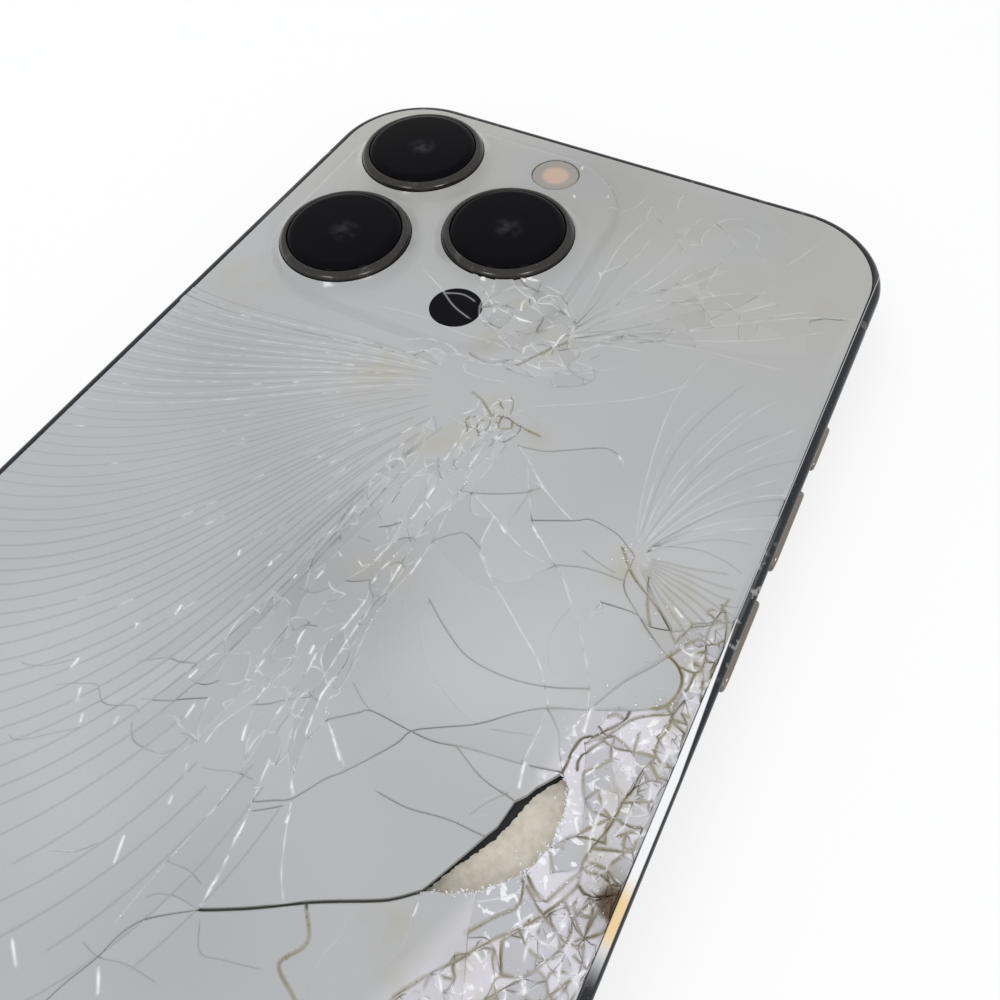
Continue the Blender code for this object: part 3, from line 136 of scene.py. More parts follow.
FAINT_DARK_CRACKS = [
    [(-17.7, -13.2), (-16.5, -12.9), (-15.1, -12.1), (-13.4, -10.5)],
    [(-13.6, -13.3), (-12.0, -12.3), (-10.3, -11.6), (-9.0, -12.4), (-7.9, -12.3), (-6.4, -11.5),
     (-5.4, -11.7)],
    [(-5.6, -12.4), (-4.5, -13.6), (-3.0, -13.7), (-1.5, -13.3), (-0.8, -12.5)],
    [(-8.8, -8.5), (-6.7, -7.0), (-5.3, -6.7), (-3.8, -6.1)],
    [(-3.7, -7.5), (-2.2, -7.3), (-1.2, -6.3)],
    [(-6.4, -10.8), (-4.4, -10.0), (-2.6, -8.9), (-0.9, -7.9)],
    [(2.3, -6.9), (3.7, -6.0), (4.8, -5.0), (6.6, -3.8)],
    [(2.0, -12.7), (3.4, -12.2), (4.6, -11.7), (6.4, -11.5)],
    [(8.6, -1.2), (10.3, -2.2), (11.6, -2.7)],
    [(-13.9, -18.1), (-12.8, -18.1), (-10.7, -16.4), (-8.4, -14.4)],
    [(-0.8, 3.7), (1.0, 3.9), (2.2, 5.3)], [(2.2, 1.1), (3.3, 1.5)],
    [(4.0, -19.3), (6.0, -19.0), (7.6, -19.3)],
    [(4.4, -22.0), (5.0, -21.3), (6.4, -20.8), (8.4, -20.7)],
    [(-4.4, -23.0), (-2.4, -22.0), (-1.2, -20.6)],
    [(2.2, -26.2), (4.0, -26.4), (6.0, -25.8), (9.0, -25.6)],
    [(8.8, -21.0), (10.2, -22.7), (12.0, -22.3), (15.0, -21.4)],
    [(24.0, 4.3), (25.6, 3.0), (26.4, 1.6), (27.3, 0.3)],
    [(20.6, 0.6), (22.4, 1.2), (24.2, 1.9)],
    [(22.4, -6.0), (23.2, -4.4), (24.4, -2.9)],
    [(26.4, -13.0), (27.8, -12.4), (29.4, -13.6)],
    [(25.6, 22.0), (29.0, 23.4), (31.6, 23.6), (34.0, 23.0)],
    [(9.0, 63.7), (9.5, 63.4)],
]
BRIGHT_CRACKS = [
    [(9.4, 26.6), (11.5, 25.2), (13.0, 23.9), (14.0, 23.2), (17.4, 21.4), (18.3, 21.2)],
    [(11.4, 24.9), (14.8, 19.4), (16.6, 17.9), (18.8, 16.2), (20.2, 15.1), (21.8, 13.3),
     (23.8, 11.0), (25.3, 9.0), (26.3, 7.3), (27.0, 5.7)],
    [(8.2, 19.6), (11.4, 18.2), (13.0, 17.4), (16.0, 16.2), (18.8, 16.2)],
    [(11.4, 18.2), (11.9, 14.7), (14.0, 12.6), (16.0, 11.3), (19.3, 9.0), (21.5, 7.5), (23.0, 5.8),
     (24.0, 4.3), (24.2, 1.9), (24.2, -0.6)],
    [(8.6, -4.9), (10.2, -6.0), (12.3, -7.5)],
    [(9.8, -11.2), (10.6, -13.0), (12.2, -15.8), (13.6, -17.4)],
    [(23.5, 12.4), (23.7, 13.6), (23.9, 14.8)],
    [(-11.8, 43.2), (-8.0, 41.2), (-5.2, 39.4), (-2.4, 38.4)],
    [(-7.4, 40.6), (-5.2, 41.4), (-3.2, 41.0)],
    [(18.8, 29.9), (19.4, 29.5), (20.0, 28.6)],
    [(24.0, 14.8), (24.5, 14.1), (24.1, 13.6)],
]
HAIR_CRACKS = [
    [(16.2, 29.4), (18.4, 31.6), (20.2, 34.2)],
    [(8.0, 41.0), (12.0, 36.6), (10.8, 33.6), (10.2, 29.4)],
    [(10.5, 8.1), (11.5, 5.0), (14.0, 2.5), (18.0, 0.7), (19.6, 0.5)],
    [(7.6, 10.0), (9.0, 6.5), (11.0, 3.0), (14.0, 1.6), (15.6, 1.7)],
    [(7.8, 5.0), (9.0, 2.5), (11.0, 0.0), (13.5, -1.9), (15.2, -2.5)],
    [(7.7, 13.4), (9.6, 12.2), (12.4, 11.4), (16.0, 11.3)],
    [(7.7, 17.0), (10.4, 15.4), (11.9, 14.7)],
    [(9.0, 24.6), (10.6, 23.4), (14.0, 23.2)],
    [(7.6, 10.0), (8.6, 7.2), (9.4, 4.6), (10.4, 2.4)],
    [(12.4, 24.0), (13.2, 21.8), (13.0, 17.4)],
    [(14.0, 12.6), (16.2, 13.0), (18.8, 16.2)],
    [(21.8, 13.3), (21.4, 10.6), (22.2, 8.0), (23.4, 7.0)],
    [(24.4, -2.5), (23.2, -4.0), (22.0, -6.2)],
    [(24.4, -4.6), (22.6, -6.0), (21.4, -7.4)],
    [(25.5, -10.2), (26.4, -13.0), (28.5, -17.5)],
    [(21.9, -12.1), (22.2, -13.4), (22.6, -15.6), (22.0, -17.6)],
    [(17.8, -15.4), (18.4, -17.0), (18.0, -19.0), (18.4, -22.0)],
    [(20.0, 50.3), (24.0, 57.0), (25.4, 63.0)],
    [(13.0, 44.8), (20.0, 45.6), (27.0, 46.4), (33.0, 45.2)],
    [(30.0, 55.4), (31.0, 51.0), (33.4, 48.6)],
    [(9.5, 63.4), (14.0, 60.0), (18.0, 54.4), (20.0, 50.3)],
    [(2.2, -32.0), (7.0, -38.0), (10.0, -50.0), (11.0, -64.0), (14.0, -80.0)],
    [(7.0, -38.0), (14.0, -40.0), (19.0, -33.0)],
    [(-6.0, -47.0), (2.0, -50.0), (10.0, -50.0)],
]
# Cracks with earth worked into them
DIRTY_CRACKS = [
    [(2.0, 30.4), (3.4, 30.0), (4.6, 29.2), (5.6, 28.6), (7.0, 29.0), (8.8, 28.6), (11.4, 28.4)],
    [(4.6, 35.5), (6.2, 38.4), (8.0, 41.0)],
    [(33.4, 57.2), (31.2, 56.4), (30.0, 55.4)],
    [(31.5, 8.2), (30.2, 7.3)],
    [(33.0, 8.4), (31.6, 7.6), (30.4, 6.6), (29.6, 5.2), (29.0, 4.0), (28.4, 2.8), (28.0, 1.8),
     (28.3, 0.8)],
    [(34.5, 8.3), (33.3, 8.2), (32.4, 9.0)],
    [(30.9, 14.0), (31.7, 16.2), (32.9, 17.0), (33.8, 18.2)],
    [(31.0, 12.9), (32.3, 15.2), (33.2, 15.4), (33.8, 13.6), (33.4, 12.6), (32.0, 12.4)],
    [(33.2, 15.4), (33.1, 17.0), (33.4, 19.0), (33.6, 20.4)],
    [(33.4, 12.6), (33.4, 11.2), (33.0, 10.0), (33.1, 8.6), (33.2, 7.2), (32.9, 6.0), (33.2, 4.8),
     (34.5, 4.6)],
    [(33.2, 4.8), (31.6, 4.4), (30.2, 3.9), (29.0, 4.0)],
    [(34.5, 3.3), (33.4, 2.8), (32.6, 1.8)],
    [(33.2, 4.8), (32.7, 3.2), (32.6, 1.8)],
    [(32.3, 0.4), (33.4, 1.1), (34.5, 1.7)],
    [(32.2, -0.8), (33.4, -0.9), (34.4, -0.5)],
    [(32.0, -2.2), (31.6, -3.6), (31.5, -5.0), (31.8, -6.3)],
    [(31.6, -3.6), (33.0, -3.0), (34.5, -2.4)],
    [(31.7, -4.6), (33.0, -4.4), (34.4, -5.0)],
    [(31.8, -6.3), (31.3, -7.6), (30.4, -9.2), (29.3, -10.8), (27.9, -12.4), (26.4, -14.6),
     (25.0, -16.4), (23.4, -19.0)],
    [(31.3, -7.6), (32.4, -8.6), (32.6, -10.0), (31.9, -11.6), (31.0, -13.2), (29.0, -16.0)],
    [(30.4, -9.2), (31.6, -9.6), (32.6, -10.0), (33.8, -9.6)],
    [(29.3, -10.8), (30.6, -11.6), (31.9, -11.6)],
    [(28.4, -8.0), (29.4, -8.6), (30.4, -9.2)],
    [(34.4, -5.6), (33.8, -7.2), (33.6, -9.0), (34.2, -11.0), (33.4, -12.6), (32.0, -15.0)],
    [(27.9, -7.4), (28.6, -9.4), (27.4, -11.0), (26.0, -13.0)],
    [(34.4, -5.6), (33.0, -7.0), (32.4, -8.6)],
    [(34.4, -5.6), (33.2, -4.9), (32.0, -5.2), (31.5, -5.0)],
    [(26.6, 19.0), (27.6, 16.4), (28.6, 14.6)],
    [(23.4, 20.6), (25.4, 18.4), (28.4, 16.6), (31.2, 14.2)],
    [(15.0, -16.6), (16.6, -18.6), (15.6, -20.6), (17.4, -21.6), (18.4, -22.0)],
]
PALE_CRACKS = [
    [(6.8, 41.6), (10.0, 43.6), (14.2, 45.9), (19.8, 49.2), (25.2, 52.9), (28.9, 55.4), (32.4, 57.0),
     (35.4, 58.4)],
    [(6.2, 28.4), (9.0, 31.6), (13.0, 34.0), (18.0, 37.4), (22.0, 41.6)],
    [(-1.0, 33.6), (4.0, 35.6), (10.0, 37.0), (15.0, 40.6)],
    [(-14.0, 35.4), (-8.0, 36.4), (-2.0, 36.2), (2.6, 37.2)],
    [(-9.0, 33.2), (-4.0, 34.4), (1.0, 34.2), (5.6, 36.0)],
    [(8.4, 40.0), (12.0, 42.4), (16.0, 43.4)], [(7.8, 43.4), (10.0, 47.0), (11.0, 51.0)],
    [(6.6, 52.0), (9.0, 56.0), (9.6, 61.0)], [(3.0, 61.6), (5.6, 64.6), (6.2, 68.0)],
    [(11.0, 51.0), (16.0, 54.4), (20.0, 60.0)],
]
# The sheaf that falls from the first impact down the middle of the pane
SHEAF = [
    [(5.3, 27.9), (4.8, 25.0), (4.1, 22.0), (3.8, 18.5), (3.7, 16.5), (4.4, 11.0), (3.8, 8.2),
     (2.8, 6.0), (2.4, 2.0), (2.4, 0.0), (3.0, -2.6), (2.6, -5.6), (3.0, -8.2), (3.6, -9.6)],
    [(5.3, 27.9), (5.6, 24.0), (5.0, 20.4), (4.8, 18.5), (4.7, 14.0), (4.4, 11.0)],
    [(6.6, 27.6), (6.6, 22.0), (7.2, 19.2), (6.1, 15.0), (5.4, 10.0), (5.1, 7.0), (5.5, 5.4),
     (5.2, 1.8), (4.6, -0.4), (4.8, -2.3), (4.7, -6.5), (5.0, -11.0), (4.9, -15.0), (4.4, -18.0),
     (3.8, -22.0), (3.6, -24.6)],
    [(7.6, 27.4), (7.0, 24.0), (7.2, 19.2), (7.4, 16.0), (7.7, 13.4), (7.6, 10.0), (7.2, 7.3),
     (7.0, 4.6), (7.5, 1.2), (8.0, -1.4), (7.8, -3.4), (8.6, -4.9), (8.2, -7.0), (8.8, -9.8),
     (9.8, -11.2)],
    [(6.1, 15.0), (6.4, 10.0), (6.5, 7.6), (6.2, 4.0), (6.3, 0.0), (6.3, -5.0), (6.6, -7.0),
     (7.6, -8.8), (8.8, -9.8)],
    [(7.3, -1.0), (7.0, -3.0), (7.3, -5.0), (8.2, -7.0)],
    [(6.3, -9.4), (6.6, -11.0), (7.2, -12.9), (7.6, -14.4), (7.8, -16.0), (8.2, -18.0), (8.4, -20.7)],
    [(4.1, 22.0), (2.8, 20.0), (2.1, 17.4), (1.5, 13.0), (0.6, 9.0), (0.3, 5.0), (0.8, 1.0),
     (0.5, -3.0), (1.0, -5.0), (0.5, -9.0), (-0.2, -12.8)],
    [(1.5, 21.6), (1.4, 18.4), (0.2, 15.0), (-0.8, 12.0), (-1.6, 8.0), (-1.6, 4.4)],
    [(8.2, 19.6), (9.4, 17.6), (11.4, 18.2)],
    [(4.9, 13.4), (5.6, 12.6), (6.1, 12.2)],
    [(3.8, 18.5), (4.8, 18.5)],
]
# Stretches where a crack's face catches the light
GLINTS = [
    [(5.3, 27.8), (5.0, 26.4)], [(6.6, 24.4), (6.6, 22.2)], [(7.6, 26.8), (7.2, 25.0)],
    [(4.0, 24.2), (4.1, 22.0)], [(4.8, 18.3), (4.8, 16.0), (4.7, 14.2)], [(4.4, 11.0), (4.0, 8.4)],
    [(5.4, 9.9), (5.1, 8.6), (5.1, 7.1)], [(6.4, 9.9), (6.5, 8.0)], [(7.7, 11.2), (7.6, 9.2)],
    [(5.5, 5.4), (5.4, 3.6), (5.2, 1.9)], [(6.3, 4.9), (6.2, 2.0)], [(6.2, 1.6), (6.3, -2.0)],
    [(2.4, 0.9), (2.4, -0.1), (2.9, -1.6)], [(4.5, -0.5), (4.8, -2.3)], [(3.9, 0.0), (4.1, -1.1)],
    [(7.3, -1.2), (7.0, -3.0), (7.3, -4.8)], [(7.4, -5.2), (7.9, -6.9)], [(4.7, -5.0), (4.7, -6.4)],
    [(8.4, -9.0), (9.0, -10.2), (9.7, -11.0)], [(10.2, -12.0), (10.5, -13.0)],
    [(6.4, -9.5), (6.7, -11.0), (7.1, -12.4)], [(7.6, -14.4), (7.8, -16.1)],
    [(8.0, -16.8), (8.2, -18.4), (8.3, -19.8)], [(3.0, -8.2), (3.5, -9.5)], [(0.9, -3.0), (0.9, -4.4)],
    [(2.5, -5.0), (2.5, -6.2)], [(-1.8, -8.8), (-1.8, -10.4)], [(-3.6, -6.4), (-3.8, -7.6)],
    [(-8.8, -2.4), (-8.7, -3.5)], [(-13.4, -10.5), (-13.4, -11.5)], [(-11.5, -12.2), (-10.7, -13.6)],
    [(-9.7, -13.8), (-9.2, -14.7)], [(-6.8, -12.6), (-6.7, -13.5)], [(0.7, -12.9), (1.3, -13.9)],
    [(1.3, -15.3), (1.6, -16.2)], [(0.0, -19.3), (0.4, -20.4), (0.8, -21.4)],
    [(-2.5, -28.4), (-0.5, -29.8)], [(4.4, -26.8), (5.0, -27.4), (5.7, -28.2)],
    [(-0.8, 13.5), (-0.8, 11.9)], [(0.5, 6.3), (0.3, 5.0)], [(-4.3, 4.9), (-4.2, 4.4)],
    [(-7.7, 4.4), (-7.4, 3.7)], [(-1.5, 4.8), (-1.5, 4.2)], [(-11.2, -5.6), (-10.9, -6.3)],
    [(9.4, -5.4), (10.6, -6.4), (11.6, -7.2)], [(12.0, 24.7), (13.2, 23.8), (14.0, 23.2)],
    [(15.0, 19.0), (16.4, 17.9)], [(11.9, 18.0), (13.4, 17.0)], [(12.4, 14.2), (13.6, 13.0)],
    [(27.1, 5.8), (27.3, 4.6), (27.5, 3.7)], [(24.3, -0.2), (24.6, -1.4), (24.9, -2.5)],
    [(31.2, 0.2), (31.05, -1.5), (31.25, -3.0), (31.5, -4.0)], [(28.6, 2.6), (29.0, 3.3), (29.5, 3.7)],
    [(28.9, 0.9), (29.3, 1.6), (29.5, 2.4)], [(26.7, 0.3), (27.2, 1.4), (27.7, 2.0)],
    [(30.6, 6.0), (31.8, 6.6), (32.4, 6.0)], [(33.0, 7.2), (33.6, 6.6)], [(30.2, 3.0), (31.2, 3.4)],
    [(33.2, 10.6), (33.8, 10.0)], [(31.9, 14.2), (32.6, 14.6)], [(23.9, 14.7), (24.3, 14.2)],
    [(22.1, -12.6), (22.3, -13.6)], [(30.2, -11.0), (30.6, -12.6)], [(32.8, -11.2), (33.2, -12.4)],
    [(32.4, -6.0), (33.0, -6.0)], [(18.9, 29.8), (19.4, 29.4)], [(29.6, 17.4), (30.8, 16.6)],
    [(-3.0, 67.9), (-2.8, 67.0)], [(1.3, 66.9), (1.5, 65.9)], [(-1.6, 62.4), (-1.2, 61.7)],
    [(2.2, 64.2), (2.4, 63.5)], [(-3.2, 42.9), (-1.4, 41.4), (-0.6, 40.4)], [(6.4, 52.4), (7.0, 51.6)],
]

# Both impacts, and the splinters about each: their number and longest reach
FIRST_IMPACT = (5.3, 27.9)
SECOND_IMPACT = (24.7, 20.3)
SPLINTERS = [(FIRST_IMPACT, 18, 2.6), (SECOND_IMPACT, 12, 1.8)]

# The long fan of near parallel cracks that sweeps from the first impact to the left edge: its headings
# are where each crack lies at the straightest reach
FAN_FOCUS = (4.0, 31.0)
FAN_PALE_COUNT = 22
FAN_HEADINGS = np.concatenate([
    np.linspace(2.5, 29.0, FAN_PALE_COUNT), np.linspace(30.7, 80.0, 30), np.linspace(82.4, 98.0, 7)
])
FAN_NEAR = 52.0
FAN_START = 6.0
FAN_STAGGER = 3.5
FAN_LATE_START = 41.5
FAN_END = 66.0
FAN_STEPS = 70
FAN_TURN = 0.017
FAN_STRAIGHTEST = 33.0
FAN_WANDER = 0.12
FAN_CROSSING = 81.0
FAN_UNEVEN_END = 9.0
FAN_EASE = 0.45
FAN_EASE_FROM = 45.0
FAN_EASE_OVER = 40.0
DASH_COUNT = 60

# Short fans at the second impact: angle from +X in degrees, and reach
RIGHT_SPRAY = [(14, 8.6), (6, 9.4), (-1, 9.2), (-8, 9.6), (-15, 9.2), (-22, 9.4), (-29, 9.0),
               (-36, 8.6), (-43, 7.8)]
FAR_SPRAY = [(47, 11.0), (52, 13.0), (57, 15.0), (61, 19.0), (65, 16.0), (69, 19.0), (73, 21.0),
             (77, 20.0), (81, 22.5), (85, 20.0), (89, 24.0), (94, 21.0), (99, 24.5), (104, 21.0),
             (109, 25.5)]
SPRAY_BEND = 14.0
SPRAY_START = 1.2

# The crushed strip along the right edge, as points on its left border
CRUSH_LEFT = [(33.6, 20.6), (32.2, 16.5), (31.4, 14.5), (33.3, 12.4), (33.4, 9.0), (32.8, 7.0),
              (33.0, 4.0), (32.9, 1.0), (33.1, -3.0), (32.6, -6.0), (31.4, -8.0), (29.6, -10.0),
              (27.6, -12.6), (25.6, -16.0), (22.6, -20.0), (22.0, -24.0), (28.0, -36.0), (32.0, -44.0)]
CRUSH_PITCH = 0.95
CRUSH_JITTER = 0.33
CRUSH_KEPT = 0.72
RIM_GLINT_OFFSET = 0.24
RIM_STEP = 0.4
RIM_JITTER = 0.08
CALM_FACETS = [(33.6, 0.1, 0.7), (33.8, -3.7, 0.8), (30.2, -12.4, 0.8), (28.4, -15.4, 1.2)]

# The broken corner of the plateau between the sensor and the third lens
CHIPPED_CORNER = [(-5.4, 43.8), (-2.0, 45.4), (1.8, 46.6), (5.4, 46.2), (7.8, 43.4), (8.4, 40.0),
                  (7.2, 38.0), (4.4, 37.4), (1.4, 37.6), (-1.2, 38.6), (-2.6, 40.6)]
CHIP_PITCH = 1.7

# Fields of loose fine cracks: the strip between the hole and the crushed edge, the first impact, the
# sill below the plateau, and the way to the far right corner
STRIP_FIELD = [(25.6, 5.2), (28.6, 6.6), (32.0, 7.6), (33.4, 6.6), (33.0, 2.0), (33.0, -3.0),
               (32.0, -6.6), (29.6, -9.0), (27.4, -11.6), (24.6, -14.6), (22.4, -14.4), (24.6, -11.4),
               (27.4, -8.4), (28.7, -5.0), (28.8, -1.6), (27.6, 1.2)]
IMPACT_FIELD = [(2.6, 27.0), (3.4, 30.4), (6.0, 32.0), (9.4, 30.0), (9.0, 27.0), (7.0, 24.6),
                (4.0, 24.6)]
SILL_FIELD = [(-18.0, 31.0), (-10.0, 32.4), (-4.0, 33.6), (2.0, 35.8), (6.0, 37.6), (9.4, 41.0),
              (10.6, 46.0), (14.4, 44.6), (14.0, 38.0), (9.0, 33.8), (4.0, 32.4), (-2.0, 31.6),
              (-9.0, 30.4), (-17.0, 29.2)]
FAR_FIELD = [(10.0, 42.0), (20.0, 44.0), (31.0, 52.0), (34.4, 60.0), (29.0, 66.0), (20.0, 70.0),
             (9.0, 71.0), (6.6, 64.0), (10.4, 58.0), (10.8, 49.0)]
# Each field with its pitch across and along, the share of cracks kept, and the shares of their kinds
LOOSE_WEBS = [
    (STRIP_FIELD, (1.9, 1.9), 0.62, {"dirty": 0.62, "bright": 0.16, "pale": 0.22}),
    (IMPACT_FIELD, (1.05, 1.05), 0.5, {"dirty": 0.2, "bright": 0.34, "pale": 0.36, "dark": 0.1}),
    (SILL_FIELD, (2.5, 1.35), 0.42, {"bright": 0.2, "pale": 0.6, "faint_dark": 0.2}),
    (FAR_FIELD, (3.8, 3.4), 0.34, {"pale": 0.5, "hair": 0.5}),
]
# Fine rays from the chipped corner to the far right: angle from +X in degrees, and reach
FAR_RAYS = [(23, 24.0), (27, 27.0), (31, 29.0), (36, 28.0), (42, 21.0), (49, 24.0), (56, 17.0),
            (63, 25.0), (70, 20.0), (77, 27.0), (84, 18.0), (91, 25.0)]
FAR_RAYS_START = (7.2, 41.0)

# The splintered sheaf, where cross cracks make long narrow cells
SHEAF_FIELD = [(-0.6, 26.6), (4.0, 27.6), (8.8, 27.2), (9.0, 25.0), (8.2, 20.0), (8.0, 12.0),
               (8.3, 4.0), (8.6, -4.0), (7.6, -12.0), (2.0, -13.0), (-4.4, -11.0), (-3.0, 0.0),
               (-1.5, 12.0), (-1.4, 22.0)]
SHEAF_PITCH = (1.15, 2.3)

# Groove kinds: half width, depth, painted glint and shade from dark -1 to bright 1, earth from 0 to 1
KINDS = {
    "open": (0.13, 0.42, -0.95, 0.3),
    "burnt": (0.14, 0.14, -0.45, 1.0),
    "glint": (0.12, 0.04, 1.0, 0.0),
    "dark": (0.075, 0.085, -0.44, 0.14),
    "dirty": (0.14, 0.09, -0.12, 0.85),
    "bright": (0.06, 0.035, 0.62, 0.0),
    "faint_dark": (0.06, 0.05, -0.3, 0.1),
    "pale": (0.055, 0.03, 0.34, 0.0),
    "spray": (0.12, 0.05, -0.24, 0.3),
    "near_fan": (0.1, 0.04, -0.36, 0.0),
    "fan": (0.09, 0.035, -0.27, 0.0),
    "hair": (0.03, 0.03, 0.3, 0.0),
}
KIND_NAMES = list(KINDS)
FLOOR_SHARE = 1.0
LIP_SHARE = 0.28
DIRT_SPREAD = 0.35
SHORTEST = 0.06
HALO = 0.13
HALO_PITCH = 0.7
LIP_DROP = 0.012
LEAST_AREA = 1.2e-4
EASE_ROUNDS = 26
EASE_SHARE = 0.62
FARTHEST_SHIFT = 2.4
# A spot on the pane itself, off every opening
SOUND_SPOT = (-25.0, 10.0)

# How shards lean and stand: slope, lift, the area from which they lie still, and the most tilt
SHARD_SLOPE = 0.045
SHARD_LIFT = 0.012
STILL_AREA = 60.0
MOST_TILT = 0.14
CHIPPED_MIDDLE = (2.0, 42.0)
CHIPPED_REACH = 6.5
CURVE_STEPS = 5
SEED = 7


def rounded(half_x, half_y, radius, centre=(0.0, 0.0), steps=24):
    """Points of a rounded rectangle, anticlockwise: four corner centres, each with a quarter turn of
    radius about it."""
    turn = np.linspace(0, math.pi / 2, steps + 1)
    signs = np.array([(1, 1), (-1, 1), (-1, -1), (1, -1)])
    angle = turn[None, :] + np.arange(4)[:, None] * math.pi / 2
    middle = np.array(centre) + signs * np.array([half_x - radius, half_y - radius])
    round_part = radius * np.stack([np.cos(angle), np.sin(angle)], -1)
    return (middle[:, None, :] + round_part).reshape(-1, 2)


def circle(radius, centre=(0.0, 0.0), steps=64):
    """Points at equal turns, at radius from the centre."""
    angle = np.arange(steps) * 2 * math.pi / steps
    return np.array(centre) + radius * np.stack([np.cos(angle), np.sin(angle)], -1)


def distance_in(x, y, half_x, half_y, radius):
    """Distance in from a rounded rectangle's edge, negative outside it."""
    qx = np.abs(x) - half_x + radius
    qy = np.abs(y) - half_y + radius
    outside = np.hypot(np.maximum(qx, 0), np.maximum(qy, 0)) + np.minimum(np.maximum(qx, qy), 0)
    return radius - outside


def smooth_step(t):
    """A share from 0 to 1 eased at both ends: 3t² - 2t³."""
    t = np.clip(t, 0.0, 1.0)
    return t * t * (3 - 2 * t)


def glass_level(x, y):
    """Height of the back glass: flat, rolled down along its edge as a parabola, raised on the camera
    plateau by a smooth step, and with a low concave skirt round each lens ring."""
    edge = distance_in(x, y, HALF_WIDTH - RIM, HALF_LENGTH - RIM, CORNER_RADIUS - RIM)
    roll = np.clip(1.0 - edge / EDGE_RUN, 0.0, 1.0) ** 2
    inward = distance_in(
        x - PLATEAU[0], y - PLATEAU[1], PLATEAU_WIDTH / 2, PLATEAU_LENGTH / 2, PLATEAU_RADIUS
    )
    level = BACK_LEVEL - EDGE_DROP * roll
    level = level + (PLATEAU_LEVEL - BACK_LEVEL) * smooth_step(inward / PLATEAU_SLOPE)
    for place in LENS_PLACES.values():
        away = (np.hypot(x - place[0], y - place[1]) - RING_RADIUS) / SKIRT_WIDTH
        level = level + SKIRT_RISE * np.clip(1.0 - away, 0.0, 1.0) ** 2
    return level


def fill_mesh(name, points, faces):
    """A mesh from whole arrays of points in millimetres and of triangles or quads."""
    faces = np.asarray(faces)
    sides = faces.shape[1]
    mesh = bpy.data.meshes.new(name)
    mesh.vertices.add(len(points))
    mesh.vertices.foreach_set("co", (np.asarray(points, float) * MM).astype(np.float32).ravel())
    mesh.loops.add(faces.size)
    mesh.loops.foreach_set("vertex_index", faces.astype(np.int32).ravel())
    mesh.polygons.add(len(faces))
    mesh.polygons.foreach_set("loop_start", np.arange(0, faces.size, sides, dtype=np.int32))
    mesh.polygons.foreach_set("loop_total", np.full(len(faces), sides, np.int32))
    mesh.update(calc_edges=True)
    mesh.validate()
    return mesh


def piece(mesh, material, body="root", sharp=30.0, stands_for=()):
    """A smooth shaded object of the mesh that rides on a body and takes the place of CAD nodes."""
    made = bpy.data.objects.new(mesh.name, mesh)
    bpy.context.scene.collection.objects.link(made)
    mesh.materials.append(material)
    mesh.shade_smooth()
    mesh.set_sharp_from_angle(angle=math.radians(sharp))
    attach(made, body)
    if stands_for:
        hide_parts(*stands_for)
    return made


def grid_faces(rows, columns, wrap_rows=False, wrap_columns=False):
    """Quads of a grid of rows by columns of points, with either direction closed on itself."""
    row = np.arange(rows if wrap_rows else rows - 1)
    column = np.arange(columns if wrap_columns else columns - 1)
    r, c = np.meshgrid(row, column, indexing="ij")
    r2, c2 = (r + 1) % rows, (c + 1) % columns
    corners = [r * columns + c, r * columns + c2, r2 * columns + c2, r2 * columns + c]
    return np.stack(corners, -1).reshape(-1, 4)


def welded(mesh, distance=1e-4):
    """The mesh with points that fall together made one, and with its faces turned outwards."""
    shape = bmesh.new()
    shape.from_mesh(mesh)
    bmesh.ops.remove_doubles(shape, verts=shape.verts, dist=distance * MM)
    bmesh.ops.dissolve_degenerate(shape, edges=shape.edges, dist=distance * MM / 10)
    bmesh.ops.recalc_face_normals(shape, faces=shape.faces)
    shape.to_mesh(mesh)
    shape.free()
    return mesh


def lathe_mesh(name, profile, centre, steps=96):
    """A profile of radius and height turned about the centre: x = cx + r cos a, y = cy + r sin a."""
    profile = np.array(profile, float)
    angle = np.arange(steps) * 2 * math.pi / steps
    radius, height = profile[:, :1], profile[:, 1:]
    x = centre[0] + radius * np.cos(angle)
    y = centre[1] + radius * np.sin(angle)
    z = np.broadcast_to(height, x.shape)
    points = np.stack([x, y, z], -1).reshape(-1, 3)
    closed = profile[0, 0] > 0
    return welded(fill_mesh(name, points, grid_faces(len(profile), steps, closed, True)))


def outline_sweep(name, profile, steps=24):
    """A closed profile of inset and height carried round the phone's outline. Every corner keeps its
    centre, so a point at inset i turns there at the corner radius less i."""
    profile = np.array(profile, float)
    turn = np.linspace(0, math.pi / 2, steps + 1)
    signs = np.array([(1, 1), (-1, 1), (-1, -1), (1, -1)])
    angle = (turn[None, :] + np.arange(4)[:, None] * math.pi / 2).reshape(-1)
    flat = np.array([HALF_WIDTH - CORNER_RADIUS, HALF_LENGTH - CORNER_RADIUS])
    middle = np.repeat(signs * flat, steps + 1, axis=0)
    radius = CORNER_RADIUS - profile[:, :1]
    x = middle[None, :, 0] + radius * np.cos(angle)
    y = middle[None, :, 1] + radius * np.sin(angle)
    z = np.broadcast_to(profile[:, 1:], x.shape)
    points = np.stack([x, y, z], -1).reshape(-1, 3)
    return welded(fill_mesh(name, points, grid_faces(len(profile), 4 * (steps + 1), True, True)))


def arc(centre, radius, start, end, steps):
    """Points on a circle between two angles in degrees."""
    angle = np.radians(np.linspace(start, end, steps + 1))
    return np.stack([centre[0] + radius * np.cos(angle), centre[1] + radius * np.sin(angle)], -1)


def joined_groups(count, first, second):
    """The group of each of count things, where each pair of first and second is in one group: every
    thing takes the least number in reach until nothing changes."""
    label = np.arange(count)
    while True:
        least = np.minimum(label[first], label[second])
        after = label.copy()
        np.minimum.at(after, first, least)
        np.minimum.at(after, second, least)
        after = after[after]
        if (after == label).all():
            return label
        label = after


